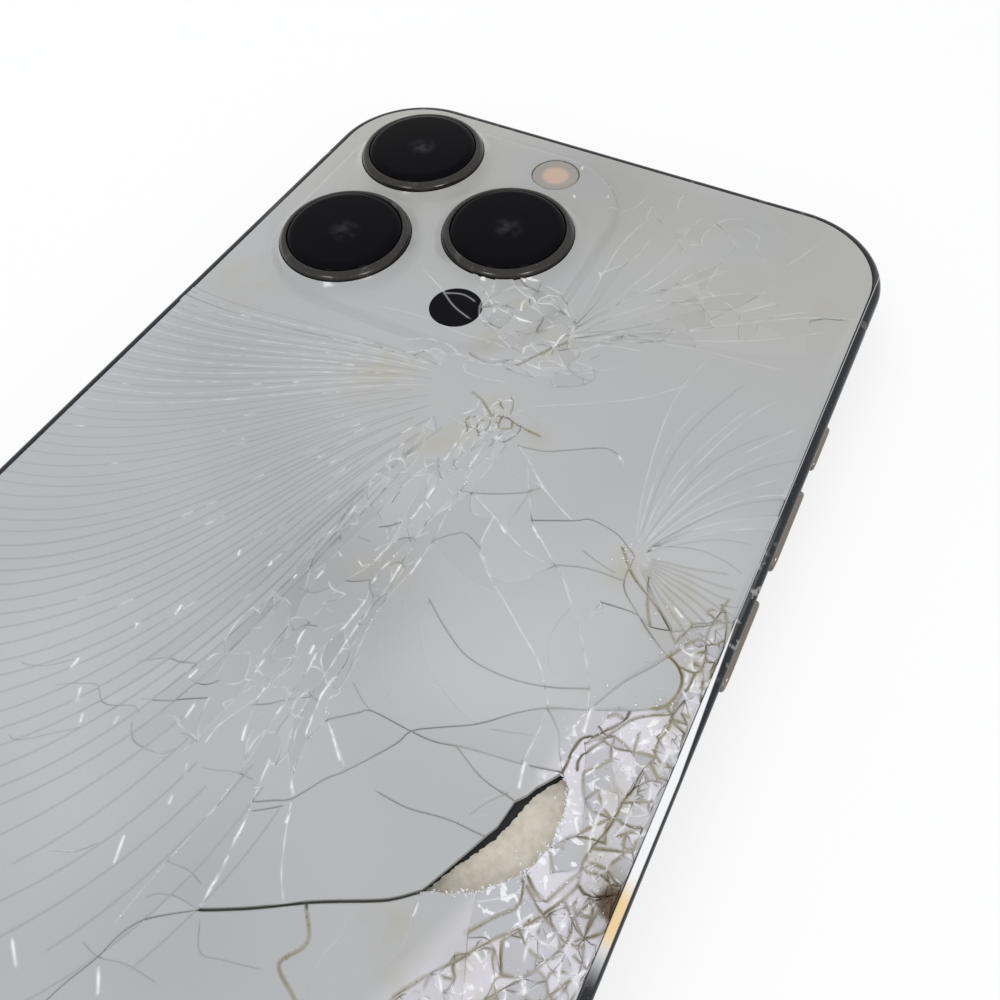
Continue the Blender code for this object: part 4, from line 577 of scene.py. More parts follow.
def curved(line):
    """A smooth curve through the points of a polyline: a Catmull-Rom spline."""
    line = np.array(line, float)
    around = np.vstack([2 * line[:1] - line[1:2], line, 2 * line[-1:] - line[-2:-1]])
    before, start, end, after = (around[k:len(around) - 3 + k, None] for k in range(4))
    t = (np.arange(CURVE_STEPS) / CURVE_STEPS)[None, :, None]
    spline = (2 * start + (end - before) * t + (2 * before - 5 * start + 4 * end - after) * t**2
              + (3 * start - before - 3 * end + after) * t**3) / 2
    return np.vstack([spline.reshape(-1, 2), line[-1:]])


def fan_lines():
    """Cracks on polar curves about the focus: the angle bends off with the square of the reach, less so
    for the steep ones, and a slow sine of the reach lets each of them wander. The last few start
    beyond the cross crack."""
    lines = []
    for k, heading in enumerate(FAN_HEADINGS):
        start = FAN_START + FAN_STAGGER * ((k * 5) % 7) / 2
        if heading > FAN_CROSSING:
            start = FAN_LATE_START + (k * 5) % 4
        end = FAN_END - FAN_UNEVEN_END * ((k * 3) % 5) / 4
        reach = np.linspace(start, end, FAN_STEPS + 1)
        wander = FAN_WANDER * np.sin(reach * 0.21 + k * 1.7)
        bend = FAN_TURN * (1 - FAN_EASE * smooth_step((heading - FAN_EASE_FROM) / FAN_EASE_OVER))
        angle = np.radians(heading - bend * (reach - FAN_STRAIGHTEST) ** 2)
        angle = angle + wander / reach * np.clip(reach / 12.0, 0, 1)
        x = FAN_FOCUS[0] - reach * np.cos(angle)
        y = FAN_FOCUS[1] - reach * np.sin(angle)
        lines.append(np.stack([x, y], -1))
    return lines


def fan_dashes(fan, chance):
    """Short bright stretches of fan cracks, most of them near the focus and along a few crossings."""
    lines = []
    for _ in range(DASH_COUNT):
        line = fan[int(chance.integers(0, 50))]
        reach = np.hypot(*(line - FAN_FOCUS).T)
        wanted = chance.choice([chance.uniform(8, 20), chance.normal(27, 2), chance.normal(38, 3)])
        at = int(np.clip(np.searchsorted(reach, wanted), 1, len(line) - 3))
        lines.append(line[at:at + 2] + chance.uniform(-0.05, 0.05, 2))
    return lines


def spray_lines(spray, bend):
    """Cracks that leave the second impact like a brush, turning by a share of the bend on the way."""
    lines = []
    for heading, reach in spray:
        share = np.linspace(0, 1, 17)
        along = SPRAY_START + (reach - SPRAY_START) * share
        angle = np.radians(heading - bend * share**1.5 + 0.8 * np.sin(share * 7 + heading))
        x = SECOND_IMPACT[0] + along * np.cos(angle)
        y = SECOND_IMPACT[1] + along * np.sin(angle)
        lines.append(np.stack([x, y], -1))
    return lines


def web(spots, pitch, kept, chance, kinds):
    """Cracks between jittered spots and their Delaunay neighbours, each bent a little at its middle.
    The kinds are drawn by their shares."""
    found = delaunay_2d_cdt([Vector(p) for p in spots], [], [], 0, 0.01)
    places = np.array([tuple(p) for p in found[0]])
    names, shares = list(kinds), np.cumsum(list(kinds.values()))
    lines = []
    for a, b in found[1]:
        length = np.hypot(*(places[a] - places[b]))
        draw = chance.random(3)
        if length < 2.2 * pitch and draw[0] < kept:
            middle = (places[a] + places[b]) / 2 + (draw[1:] - 0.5) * 0.3 * pitch
            kind = names[int(np.searchsorted(shares, draw[1] * shares[-1]))]
            lines.append((np.array([places[a], middle, places[b]]), kind))
    return lines


def crush_lines(chance):
    """A web of small shards between the strip's left border and the band, open on the calm facets."""
    left_y = [p[1] for p in reversed(CRUSH_LEFT)]
    left_x = [p[0] for p in reversed(CRUSH_LEFT)]
    right = HALF_WIDTH - RIM - 0.1
    rows = np.arange(CRUSH_LEFT[-1][1], CRUSH_LEFT[0][1], CRUSH_PITCH)
    spots = []
    for y in rows:
        left = np.interp(y, left_y, left_x)
        count = max(int(round((right - left) / CRUSH_PITCH)), 1) + 1
        x = np.linspace(left, right, count)
        row = np.stack([x, np.full(count, y)], -1)
        row += chance.uniform(-CRUSH_JITTER, CRUSH_JITTER, row.shape)
        spots.append(row)
    spots = np.concatenate(spots)
    calm = np.zeros(len(spots), bool)
    for x, y, radius in CALM_FACETS:
        calm |= np.hypot(spots[:, 0] - x, spots[:, 1] - y) < radius
    shares = {"dirty": 0.4, "glint": 0.16, "pale": 0.24, "faint_dark": 0.2}
    return web(spots[~calm], CRUSH_PITCH, CRUSH_KEPT, chance, shares)


def spots_inside(outline, pitch, chance):
    """Jittered grid spots inside an outline: those about which the outline winds a full turn."""
    outline = np.array(outline)
    low, high = outline.min(0), outline.max(0)
    x, y = np.meshgrid(np.arange(low[0], high[0], pitch[0]), np.arange(low[1], high[1], pitch[1]))
    spots = np.stack([x.ravel(), y.ravel()], -1)
    spots += chance.uniform(-0.35, 0.35, spots.shape) * np.array(pitch)
    way = outline[None] - spots[:, None]
    angle = np.arctan2(way[..., 1], way[..., 0])
    turn = np.angle(np.exp(1j * (np.roll(angle, -1, axis=1) - angle))).sum(1)
    return spots[np.abs(turn) > math.pi]


def corner_lines(chance):
    """A web of clear facets in the plateau's chipped corner."""
    spots = spots_inside(CHIPPED_CORNER, (CHIP_PITCH, CHIP_PITCH), chance)
    spots = np.concatenate([spots, CHIPPED_CORNER])
    return web(spots, CHIP_PITCH, 0.8, chance, {"glint": 0.12, "bright": 0.33, "dark": 0.15, "pale": 0.4})


def sheaf_lines(chance):
    """The sheaf's narrow cells: a loose web drawn out along it."""
    spots = spots_inside(SHEAF_FIELD, SHEAF_PITCH, chance)
    shares = {"bright": 0.28, "faint_dark": 0.14, "pale": 0.58}
    lines = web(spots, SHEAF_PITCH[1], 0.36, chance, shares)
    return [(curved(line), kind) for line, kind in lines]


def loose_webs(chance):
    """The strip's soiled shards, the crumbled first impact, and the fine webs and wavy rays round the
    plateau."""
    lines = []
    for field, pitch, kept, kinds in LOOSE_WEBS:
        lines += web(spots_inside(field, pitch, chance), pitch[0], kept, chance, kinds)
    lines = [(curved(line), kind) for line, kind in lines]
    for k, (heading, reach) in enumerate(FAR_RAYS):
        share = np.linspace(0.04, 1, 15)[:, None]
        angle = np.radians(heading + 3.0 * np.sin(share * 5 + k) - 4.0 * share)
        ray = np.hstack([np.cos(angle), np.sin(angle)]) * share * reach
        lines.append((ray + FAR_RAYS_START, "hair" if k % 3 == 1 else "pale"))
    return lines


def impact_lines(chance):
    """Short splinters about both impacts, on rays of uneven length."""
    lines = []
    for (x, y), count, reach in SPLINTERS:
        for angle in np.linspace(0, 2 * math.pi, count, endpoint=False):
            near, far = chance.uniform(0.3, 1.0), chance.uniform(1.2, reach)
            turn = angle + chance.uniform(-0.25, 0.25)
            ray = np.array([math.cos(turn), math.sin(turn)])
            bend = np.array([-ray[1], ray[0]]) * chance.uniform(-0.3, 0.3)
            start = np.array([x, y])
            lines.append(np.array([start + ray * near, start + ray * (near + far) / 2 + bend,
                                   start + ray * far]))
    return lines


def rim_lines(chance):
    """Short grooves a little out from the right rim of the hole and jagged, painted bright as highlights.
    """
    outline = np.array(LOST_SHARD[1:9])
    away = outline - np.mean(LOST_SHARD, axis=0)
    away /= np.hypot(*away.T)[:, None]
    rim = resampled(curved(outline + RIM_GLINT_OFFSET * away), RIM_STEP)
    rim += chance.uniform(-RIM_JITTER, RIM_JITTER, rim.shape)
    return [(rim[k:k + 4], "glint") for k in range(0, len(rim) - 3, 4)]


def crack_lines():
    """Every crack as its points and its kind."""
    chance = np.random.default_rng(SEED)
    fan = fan_lines()
    picked = [(OPEN_CRACKS, "open"), (BURNT_CRACKS, "burnt"), (DARK_CRACKS, "dark"),
              (FAINT_DARK_CRACKS, "faint_dark"), (DIRTY_CRACKS, "dirty"), (BRIGHT_CRACKS, "bright"),
              (PALE_CRACKS, "pale"), (SHEAF, "pale"), (GLINTS, "glint"), (HAIR_CRACKS, "hair")]
    found = [(curved(line), kind) for lines, kind in picked for line in lines]
    for k, line in enumerate(fan):
        near = FAN_HEADINGS[k] > FAN_NEAR
        found.append((line, "pale" if k < FAN_PALE_COUNT and k % 2 else "near_fan" if near else "fan"))
    found += [(line, "bright") for line in fan_dashes(fan, chance)]
    found += [(line, "spray") for line in spray_lines(RIGHT_SPRAY, 0.0)]
    found += [(line, "pale" if k % 3 else "fan")
              for k, line in enumerate(spray_lines(FAR_SPRAY, SPRAY_BEND))]
    found += crush_lines(chance)
    found += corner_lines(chance)
    found += sheaf_lines(chance)
    found += loose_webs(chance)
    found += rim_lines(chance)
    found += [(line, "bright" if k % 2 else "dirty" if k % 5 == 0 else "pale")
              for k, line in enumerate(impact_lines(chance))]
    return found


def resampled(line, pitch):
    """The polyline's points with more between them, so that no step is longer than the pitch."""
    steps = np.hypot(*np.diff(line, axis=0).T)
    counts = np.maximum(np.ceil(steps / pitch).astype(int), 1)
    pieces = [
        line[k] + (line[k + 1] - line[k]) * np.arange(count)[:, None] / count
        for k, count in enumerate(counts)
    ]
    return np.concatenate([*pieces, line[-1:]])


def halo_spots(lines):
    """Spots a little to each side of every crack, clear of all other cracks. They end the narrow band
    in which the glass rolls down to a crack."""
    cell = 0.05
    origin = np.array([-HALF_WIDTH - 6, -HALF_LENGTH - 10])
    size = ((-2 * origin) / cell).astype(int) + 1
    taken = np.zeros(size, bool)
    dense = np.concatenate([resampled(line, cell / 2) for line, _ in lines])
    at = np.clip(((dense - origin) / cell).astype(int), 2, size - 3)
    for dx in (-2, -1, 0, 1, 2):
        for dy in (-2, -1, 0, 1, 2):
            if abs(dx) + abs(dy) < 4:
                taken[at[:, 0] + dx, at[:, 1] + dy] = True
    found = []
    for line, kind in lines:
        if kind == "hair":
            continue
        spots = resampled(line, HALO_PITCH)
        along = np.gradient(spots, axis=0)
        along /= np.maximum(np.hypot(*along.T), 1e-9)[:, None]
        side = np.stack([-along[:, 1], along[:, 0]], -1)
        reach = HALO + KINDS[kind][0]
        found += [spots + side * reach, spots - side * reach]
    found = np.concatenate(found)
    at = np.clip(((found - origin) / cell).astype(int), 0, size - 1)
    return found[~taken[at[:, 0], at[:, 1]]]


def on_pane(points):
    """Whether spots are on the glass: inside its outline and off the openings."""
    edge = distance_in(
        points[:, 0], points[:, 1], HALF_WIDTH - RIM, HALF_LENGTH - RIM, CORNER_RADIUS - RIM
    )
    free = edge > 0.15
    for place in LENS_PLACES.values():
        free &= np.hypot(*(points - place).T) > RING_RADIUS + SEAM + 0.12
    return free & (np.hypot(*(points - FLASH_PLACE).T) > FLASH_RADIUS + SEAM + 0.12)


def pane_plan():
    """The pane in plan: spots, triangles, and the kind of each cracked edge, from a Delaunay
    triangulation that keeps every outline and crack."""
    spots, edges, kinds = [], [], []
    count = 0

    def lay(points, closed, kind):
        """Add a loop or a line of spots whose edges are of one kind."""
        nonlocal count
        number = np.arange(count, count + len(points))
        spots.append(np.asarray(points, float))
        links = np.stack([number, np.roll(number, -1)], -1)
        links = links if closed else links[:-1]
        edges.append(links)
        kinds.extend([kind] * len(links))
        count += len(points)

    for inset in (0.0, 0.12, 0.27, EDGE_RUN):
        loop = rounded(HALF_WIDTH - RIM - inset, HALF_LENGTH - RIM - inset,
                       CORNER_RADIUS - RIM - inset)
        lay(loop, True, "wall" if inset == 0 else "plain")
    for inset in np.linspace(0, PLATEAU_SLOPE, 7):
        loop = rounded(PLATEAU_WIDTH / 2 - inset, PLATEAU_LENGTH / 2 - inset,
                       PLATEAU_RADIUS - inset, PLATEAU)
        lay(loop, True, "plain")
    for place in LENS_PLACES.values():
        lay(circle(RING_RADIUS + SEAM, place), True, "wall")
        for share in (0.12, 0.3, 0.52, 0.76, 1.0):
            lay(circle(RING_RADIUS + SEAM + SKIRT_WIDTH * share, place), True, "plain")
    lay(circle(FLASH_RADIUS + SEAM, FLASH_PLACE, 40), True, "wall")
    lay(circle(SENSOR_RADIUS, SENSOR_PLACE, 48), True, "plain")
    lay(np.array(LOST_SHARD), True, "wall")
    lines = crack_lines()
    for line, kind in lines:
        lay(line, False, kind)
    beside = halo_spots(lines)
    beside = beside[on_pane(beside)]
    spots.append(beside)
    spots = np.concatenate(spots)
    edges = np.concatenate(edges)
    found = delaunay_2d_cdt([Vector(p) for p in spots], edges.tolist(), [], 1, SHORTEST)
    places = np.array([tuple(p) for p in found[0]])
    triangles = np.array([face for face in found[2] if len(face) == 3])
    turned = doubled_areas(places, triangles) < 0
    triangles[turned] = triangles[turned][:, ::-1]
    order = {name: k for k, name in enumerate(["wall", *KIND_NAMES, "plain"])}
    level = [order[kind] for kind in kinds]
    link_kind = np.array([
        min((level[s] for s in sources if s < len(level)), default=order["plain"])
        for sources in found[4]
    ])
    return places, triangles, np.array(found[1]), link_kind


def edge_key(a, b, count):
    """One number for the edge between two of count spots, whichever way it runs."""
    return np.minimum(a, b) * count + np.maximum(a, b)


def doubled_areas(points, triangles):
    """Twice the signed area of each triangle in plan: the cross product of two of its sides."""
    a, b, c = (points[triangles[:, k]] for k in range(3))
    return (b[:, 0] - a[:, 0]) * (c[:, 1] - a[:, 1]) - (b[:, 1] - a[:, 1]) * (c[:, 0] - a[:, 0])


def twins(start, end, count):
    """For each directed edge the number of the one that runs back along it, or -1."""
    keys = start * count + end
    order = np.argsort(keys)
    back = end * count + start
    at = np.clip(np.searchsorted(keys[order], back), 0, len(order) - 1)
    return np.where(keys[order][at] == back, order[at], -1)


def look_up(keys, table_keys, table_values, missing):
    """The table's value for each key, or the missing value."""
    order = np.argsort(table_keys)
    at = np.clip(np.searchsorted(table_keys[order], keys), 0, len(order) - 1)
    found = table_keys[order][at] == keys
    return np.where(found, table_values[order][at], missing)


def shard_tilts(areas, middles):
    """How each shard leans and stands: random slopes and lifts, larger on small shards, most of all in
    the crushed strip and the chipped corner, and a random shade, a painted brightness that stands in for
    the light each tilted shard catches."""
    chance = np.random.default_rng(SEED + 1)
    count = len(areas)
    small = np.clip(1.4 / np.sqrt(np.maximum(areas, 0.05)), 0.0, 1.0)
    small = np.where(areas < STILL_AREA, small, 0.0)
    slope = chance.normal(0.0, SHARD_SLOPE, (count, 2)) * small[:, None]
    crushed = smooth_step((middles[:, 0] - 21.0) / 7.0) * (middles[:, 1] < 20.0)
    chipped = np.hypot(*(middles - np.array(CHIPPED_MIDDLE)).T) < CHIPPED_REACH
    slope *= (1.0 + 2.2 * crushed + 2.0 * chipped)[:, None]
    lift = chance.normal(0.0, SHARD_LIFT, count) * small
    shade = chance.uniform(-1.0, 1.0, count) * np.clip(small * 1.6, 0, 1)
    return slope, lift, shade


def shattered_pane(material, window):
    """One pane whose every crack is a V groove. The corners of neighbouring triangles at a spot join
    into one top point unless a crack runs between them, so each shard has its own rim. Each top point
    at a crack draws back by the groove's half width along the normals of the cracks beside it, found
    as the least squares of those distances, and the groove's floor stays under the crack itself."""
    places, triangles, links, link_kind = pane_plan()
    total = len(places)
    plain = len(KIND_NAMES) + 1
    keys = edge_key(links[:, 0], links[:, 1], total)

    def halves_of(triangles):
        """The triangles' directed edges: start, end, the twin that runs back, and the kind."""
        start = triangles.ravel()
        end = np.roll(triangles, -1, axis=1).ravel()
        kind = look_up(edge_key(start, end, total), keys, link_kind, plain)
        return start, end, twins(start, end, total), kind

    start, end, twin, kind = halves_of(triangles)
    half = np.arange(len(start))
    open_way = (twin >= 0) & (kind != 0)
    region = joined_groups(len(triangles), half[open_way] // 3, twin[open_way] // 3)
    centre = places[triangles].mean(1)
    inside = region[np.argmin(np.hypot(*(centre - np.array(SOUND_SPOT)).T))]
    triangles = triangles[region == inside]
    start, end, twin, kind = halves_of(triangles)
    half = np.arange(len(start))
    following = 3 * (half // 3) + (half % 3 + 1) % 3
    cracked = (twin >= 0) & (kind >= 1) & (kind < plain)
    whole = (twin >= 0) & (kind == plain)
    label = joined_groups(len(half), half[whole], following[twin[whole]])
    _, first, corner = np.unique(label, return_index=True, return_inverse=True)
    corner = corner.reshape(-1)
    spot_of = start[first]
    per_spot = np.bincount(spot_of, minlength=total)
    split = per_spot > 1

    width = np.array([0.0] + [KINDS[k][0] for k in KIND_NAMES] + [0.0])
    depth = np.array([0.0] + [KINDS[k][1] for k in KIND_NAMES] + [0.0])
    glint_and_shade = np.array([0.0] + [KINDS[k][2] for k in KIND_NAMES] + [0.0])
    earth = np.array([0.0] + [KINDS[k][3] for k in KIND_NAMES] + [0.0])

    bounding = cracked | (twin < 0)
    along = places[end[bounding]] - places[start[bounding]]
    along /= np.hypot(*along.T)[:, None]
    normal = np.stack([-along[:, 1], along[:, 0]], -1)
    w = np.where(twin[bounding] >= 0, width[kind[bounding]], 0.0)
    tops = len(first)
    sums = np.zeros((tops, 5))
    for ends in (half[bounding], following[bounding]):
        terms = np.stack([normal[:, 0] ** 2, normal[:, 0] * normal[:, 1], normal[:, 1] ** 2,
                          w * normal[:, 0], w * normal[:, 1]], -1)
        np.add.at(sums, corner[ends], terms)
    xx, xy, yy = sums[:, 0] + 0.02, sums[:, 1], sums[:, 2] + 0.02
    det = xx * yy - xy * xy
    shift = np.stack([(yy * sums[:, 3] - xy * sums[:, 4]) / det,
                      (xx * sums[:, 4] - xy * sums[:, 3]) / det], -1)
    widest = np.zeros(total)
    np.maximum.at(widest, start[cracked], width[kind[cracked]])
    length = np.maximum(np.hypot(*shift.T), 1e-9)
    shift *= np.minimum(1.0, FARTHEST_SHIFT * widest[spot_of] / length)[:, None]
    shift[~split[spot_of]] = 0.0

    floor_spots = np.flatnonzero(split)
    floor_number = np.full(total, -1)
    floor_number[floor_spots] = tops + np.arange(len(floor_spots))
    h = half[cracked]
    top_a, top_b = corner[h], corner[following[h]]
    floor_a = np.where(split[start[h]], floor_number[start[h]], top_a)
    floor_b = np.where(split[end[h]], floor_number[end[h]], top_b)
    upper = np.stack([top_b, top_a, floor_a], -1)[floor_a != top_a]
    lower = np.stack([top_b, floor_a, floor_b], -1)[floor_b != top_b]
    faces = np.concatenate([corner.reshape(-1, 3), upper, lower])
    plan = np.concatenate([places[spot_of], places[floor_spots]])
    moved = np.concatenate([shift, np.zeros((len(floor_spots), 2))])
    for _ in range(EASE_ROUNDS):
        tight = np.unique(faces[doubled_areas(plan + moved, faces) < LEAST_AREA])
        if len(tight) == 0:
            break
        moved[tight] *= EASE_SHARE
    plan = plan + moved

    shard = joined_groups(len(triangles), half[whole] // 3, twin[whole] // 3)
    area = doubled_areas(places, triangles) / 2
    shard_area = np.bincount(shard, area, minlength=len(triangles))
    middle = np.stack([
        np.bincount(shard, area * places[triangles].mean(1)[:, k], minlength=len(triangles))
        for k in (0, 1)
    ], -1) / np.maximum(shard_area, 1e-9)[:, None]
    shard_of = shard[first // 3]
    slope, lift, shade = shard_tilts(shard_area, middle)

    height = glass_level(plan[:, 0], plan[:, 1])
    from_middle = plan[:tops] - middle[shard_of]
    tilt = np.clip((slope[shard_of] * from_middle).sum(1) + lift[shard_of], -MOST_TILT, MOST_TILT)
    height[:tops] += tilt
    height[:tops] -= LIP_DROP * split[spot_of]
    deepest = np.zeros(total)
    np.maximum.at(deepest, start[cracked], depth[kind[cracked]])
    height[tops:] -= deepest[floor_spots]

    best = np.full(total, plain)
    np.minimum.at(best, start[cracked], kind[cracked])
    np.minimum.at(best, end[cracked], kind[cracked])
    # Painted glints and shade of each groove from its kind; a slow wave brightens and fades the glints
    # along it
    ripple = np.sin(places[:, 0] * 3.1 + 1.7 * np.sin(places[:, 1] * 1.3))
    ripple = ripple * np.sin(places[:, 1] * 2.3 + 2.0 * np.sin(places[:, 0] * 0.9))
    glints_and_shades = glint_and_shade[best] * (0.7 + 0.6 * np.clip(ripple, -1, 1) * (glint_and_shade[best] > 0))
    earths = earth[best]
    lips = LIP_SHARE + DIRT_SPREAD * earth[best]
    crack = np.concatenate([np.where(split[spot_of] & (best[spot_of] < plain - 1), lips[spot_of], 0.0),
                            np.full(len(floor_spots), FLOOR_SHARE)])
    of_spot = np.concatenate([spot_of, floor_spots])
    shades = np.concatenate([shade[shard_of], np.zeros(len(floor_spots))])

    rim = half[twin < 0]
    base_spots = np.unique(np.concatenate([start[rim], end[rim]]))
    base_number = np.full(total, -1)
    base_number[base_spots] = tops + len(floor_spots) + np.arange(len(base_spots))
    rim_a, rim_b = corner[rim], corner[following[rim]]
    base_a, base_b = base_number[start[rim]], base_number[end[rim]]
    incoming, outgoing = np.full(total, -1), np.full(total, -1)
    outgoing[start[rim]] = rim_a
    incoming[end[rim]] = rim_b
    notch = base_spots[incoming[base_spots] != outgoing[base_spots]]
    notch_base, notch_floor = base_number[notch], floor_number[notch]
    walls = [np.stack([rim_b, rim_a, base_a], -1), np.stack([rim_b, base_a, base_b], -1),
             np.stack([incoming[notch], notch_base, notch_floor], -1),
             np.stack([notch_base, outgoing[notch], notch_floor], -1)]
    under = base_number[underside(places, base_spots, start[rim], end[rim])][:, ::-1]
    faces = np.concatenate([faces, *walls, under])
    points = np.concatenate([np.column_stack([plan, height]),
                             np.column_stack([places[base_spots],
                                              np.full(len(base_spots), GLASS_LOW[2])])])
    mesh = fill_mesh("shattered_glass", points, faces)
    from_sensor = points[faces].mean(1)[:, :2] - SENSOR_PLACE
    over_sensor = np.hypot(*from_sensor.T) < SENSOR_RADIUS
    mesh.polygons.foreach_set("material_index", over_sensor.astype(np.int32))
    padding = np.zeros(len(base_spots))
    for name, values in (("crack", crack), ("glint_and_shade", glints_and_shades[of_spot]), ("earth", earths[of_spot]),
                         ("shade", shades)):
        layer = mesh.attributes.new(name, "FLOAT", "POINT")
        layer.data.foreach_set("value", np.concatenate([values, padding]).astype(np.float32))
    made = piece(mesh, material, sharp=24.0, stands_for=["back_glass"])
    mesh.materials.append(window)
    return made


def underside(places, spots, start, end):
    """Triangles of the flat underside from the rim's own spots, kept where they lie between the rims."""
    number = {v: k for k, v in enumerate(spots)}
    links = [(number[a], number[b]) for a, b in zip(start, end)]
    found = delaunay_2d_cdt([Vector(places[v]) for v in spots], links, [], 1, 1e-6)
    source = np.array([origin[0] for origin in found[3]])
    faces = source[np.array(found[2])]
    turned = doubled_areas(places[spots], faces) < 0
    faces[turned] = faces[turned][:, ::-1]
    count = len(spots)
    one, two = faces.ravel(), np.roll(faces, -1, axis=1).ravel()
    rims = np.array([edge_key(p, q, count) for p, q in links])
    key = edge_key(one, two, count)
    twin = twins(one, two, count)
    half = np.arange(len(one))
    across = (twin >= 0) & ~np.isin(key, rims)
    region = joined_groups(len(faces), half[across] // 3, twin[across] // 3)
    directed = set(links)
    seed = next(k for k in range(len(one)) if (one[k], two[k]) in directed)
    return spots[faces[region == region[seed // 3]]]


def put(tree, kind, inputs=None, **settings):
    """A shader node with its settings, and its inputs given as values or as sockets to link."""
    node = tree.nodes.new(kind)
    for name, value in settings.items():
        setattr(node, name, value)
    for name, value in (inputs or {}).items():
        if isinstance(value, bpy.types.NodeSocket):
            tree.links.new(value, node.inputs[name])
        else:
            node.inputs[name].default_value = value
    return node


def maths(tree, operation, first, second=0.0, third=0.0, clamp=False):
    """One sum of the shader's Math node."""
    node = put(tree, "ShaderNodeMath", {0: first, 1: second, 2: third}, operation=operation)
    node.use_clamp = clamp
    return node.outputs[0]


def blend(tree, share, first, second, mode="MIX"):
    """Two colours mixed by a share."""
    node = tree.nodes.new("ShaderNodeMix")
    node.data_type = "RGBA"
    node.blend_type = mode
    for socket, value in ((node.inputs[0], share), (node.inputs[6], first), (node.inputs[7], second)):
        if isinstance(value, bpy.types.NodeSocket):
            tree.links.new(value, socket)
        else:
            socket.default_value = value if isinstance(value, float) else (*value, 1.0)
    return node.outputs[2]


def ramp(tree, value, low, high, to_low=0.0, to_high=1.0, smooth=True):
    """The value's range from low to high carried to another range."""
    kind = "SMOOTHSTEP" if smooth else "LINEAR"
    node = put(
        tree,
        "ShaderNodeMapRange",
        {"Value": value, "From Min": low, "From Max": high, "To Min": to_low, "To Max": to_high},
        interpolation_type=kind,
    )
    return node.outputs[0]


def new_group(name, inputs, outputs):
    """A shader node group with float or colour inputs and outputs, and its two end nodes."""
    tree = bpy.data.node_groups.new(name, "ShaderNodeTree")
    kinds = {"value": "NodeSocketFloat", "colour": "NodeSocketColor", "vector": "NodeSocketVector"}
    for label, kind, default in inputs:
        socket = tree.interface.new_socket(label, in_out="INPUT", socket_type=kinds[kind])
        if default is not None:
            socket.default_value = default
    for label, kind in outputs:
        tree.interface.new_socket(label, in_out="OUTPUT", socket_type=kinds[kind])
    return tree, tree.nodes.new("NodeGroupInput").outputs, tree.nodes.new("NodeGroupOutput").inputs


def grime_group():
    """Cloudy film and fine specks from noise on the piece's own coordinates."""
    tree, given, made = new_group(
        "grime",
        [("Scale", "value", 60.0), ("Film", "value", 0.3), ("Specks", "value", 0.1)],
        [("Film", "value"), ("Specks", "value")],
    )
    place = put(tree, "ShaderNodeTexCoord").outputs["Object"]
    cloud = put(tree, "ShaderNodeTexNoise",
                {"Vector": place, "Scale": given["Scale"], "Detail": 6.0, "Roughness": 0.6})
    film = ramp(tree, cloud.outputs[0], 0.42, 0.72)
    tree.links.new(maths(tree, "MULTIPLY", film, given["Film"]), made["Film"])
    finer = maths(tree, "MULTIPLY", given["Scale"], 22.0)
    dots = put(tree, "ShaderNodeTexVoronoi", {"Vector": place, "Scale": finer})
    near = ramp(tree, dots.outputs["Distance"], 0.10, 0.22, 1.0, 0.0)
    some = ramp(tree, put(tree, "ShaderNodeSeparateColor",
                          {"Color": dots.outputs["Color"]}).outputs[0], 0.80, 0.82)
    specks = maths(tree, "MULTIPLY", maths(tree, "MULTIPLY", near, some), given["Specks"])
    tree.links.new(specks, made["Specks"])
    return tree


def scuff_group():
    """Hairline scratches: noise drawn out along one direction, kept only at its crests."""
    tree, given, made = new_group(
        "scuffs",
        [("Scale", "value", 900.0), ("Stretch", "vector", (1.0, 0.04, 1.0)), ("Amount", "value", 0.3)],
        [("Mask", "value")],
    )
    place = put(tree, "ShaderNodeTexCoord").outputs["Object"]
    drawn = put(tree, "ShaderNodeVectorMath", {0: place, 1: given["Stretch"]}, operation="MULTIPLY")
    noise = put(tree, "ShaderNodeTexNoise",
                {"Vector": drawn.outputs[0], "Scale": given["Scale"], "Detail": 3.0})
    crest = ramp(tree, noise.outputs[0], 0.60, 0.74)
    tree.links.new(maths(tree, "MULTIPLY", crest, given["Amount"]), made["Mask"])
    return tree


def use(tree, group, inputs=None):
    """The outputs of a node group put into a material with these values."""
    node = tree.nodes.new("ShaderNodeGroup")
    node.node_tree = group
    for name, value in (inputs or {}).items():
        node.inputs[name].default_value = value
    return node.outputs


def spot_mask(tree, place, x, y, radius, soft=0.5):
    """One inside a circle about a place in millimetres, fading to zero over its outer share."""
    spot = put(tree, "ShaderNodeCombineXYZ", {"X": x * MM, "Y": y * MM})
    flat = put(tree, "ShaderNodeVectorMath", {0: place, 1: (1.0, 1.0, 0.0)}, operation="MULTIPLY")
    away = put(tree, "ShaderNodeVectorMath", {0: flat.outputs[0], 1: spot.outputs[0]},
               operation="DISTANCE")
    return ramp(tree, away.outputs["Value"], radius * (1 - soft) * MM, radius * MM, 1.0, 0.0)


def finish(name, colour, roughness, metallic=0.0):
    """A Principled material, and its tree and shader for what is linked to them."""
    material = bpy.data.materials.new(name)
    material.use_nodes = True
    tree = material.node_tree
    shader = tree.nodes["Principled BSDF"]
    shader.inputs["Base Color"].default_value = (*colour, 1.0)
    shader.inputs["Roughness"].default_value = roughness
    shader.inputs["Metallic"].default_value = metallic
    return material, tree, shader


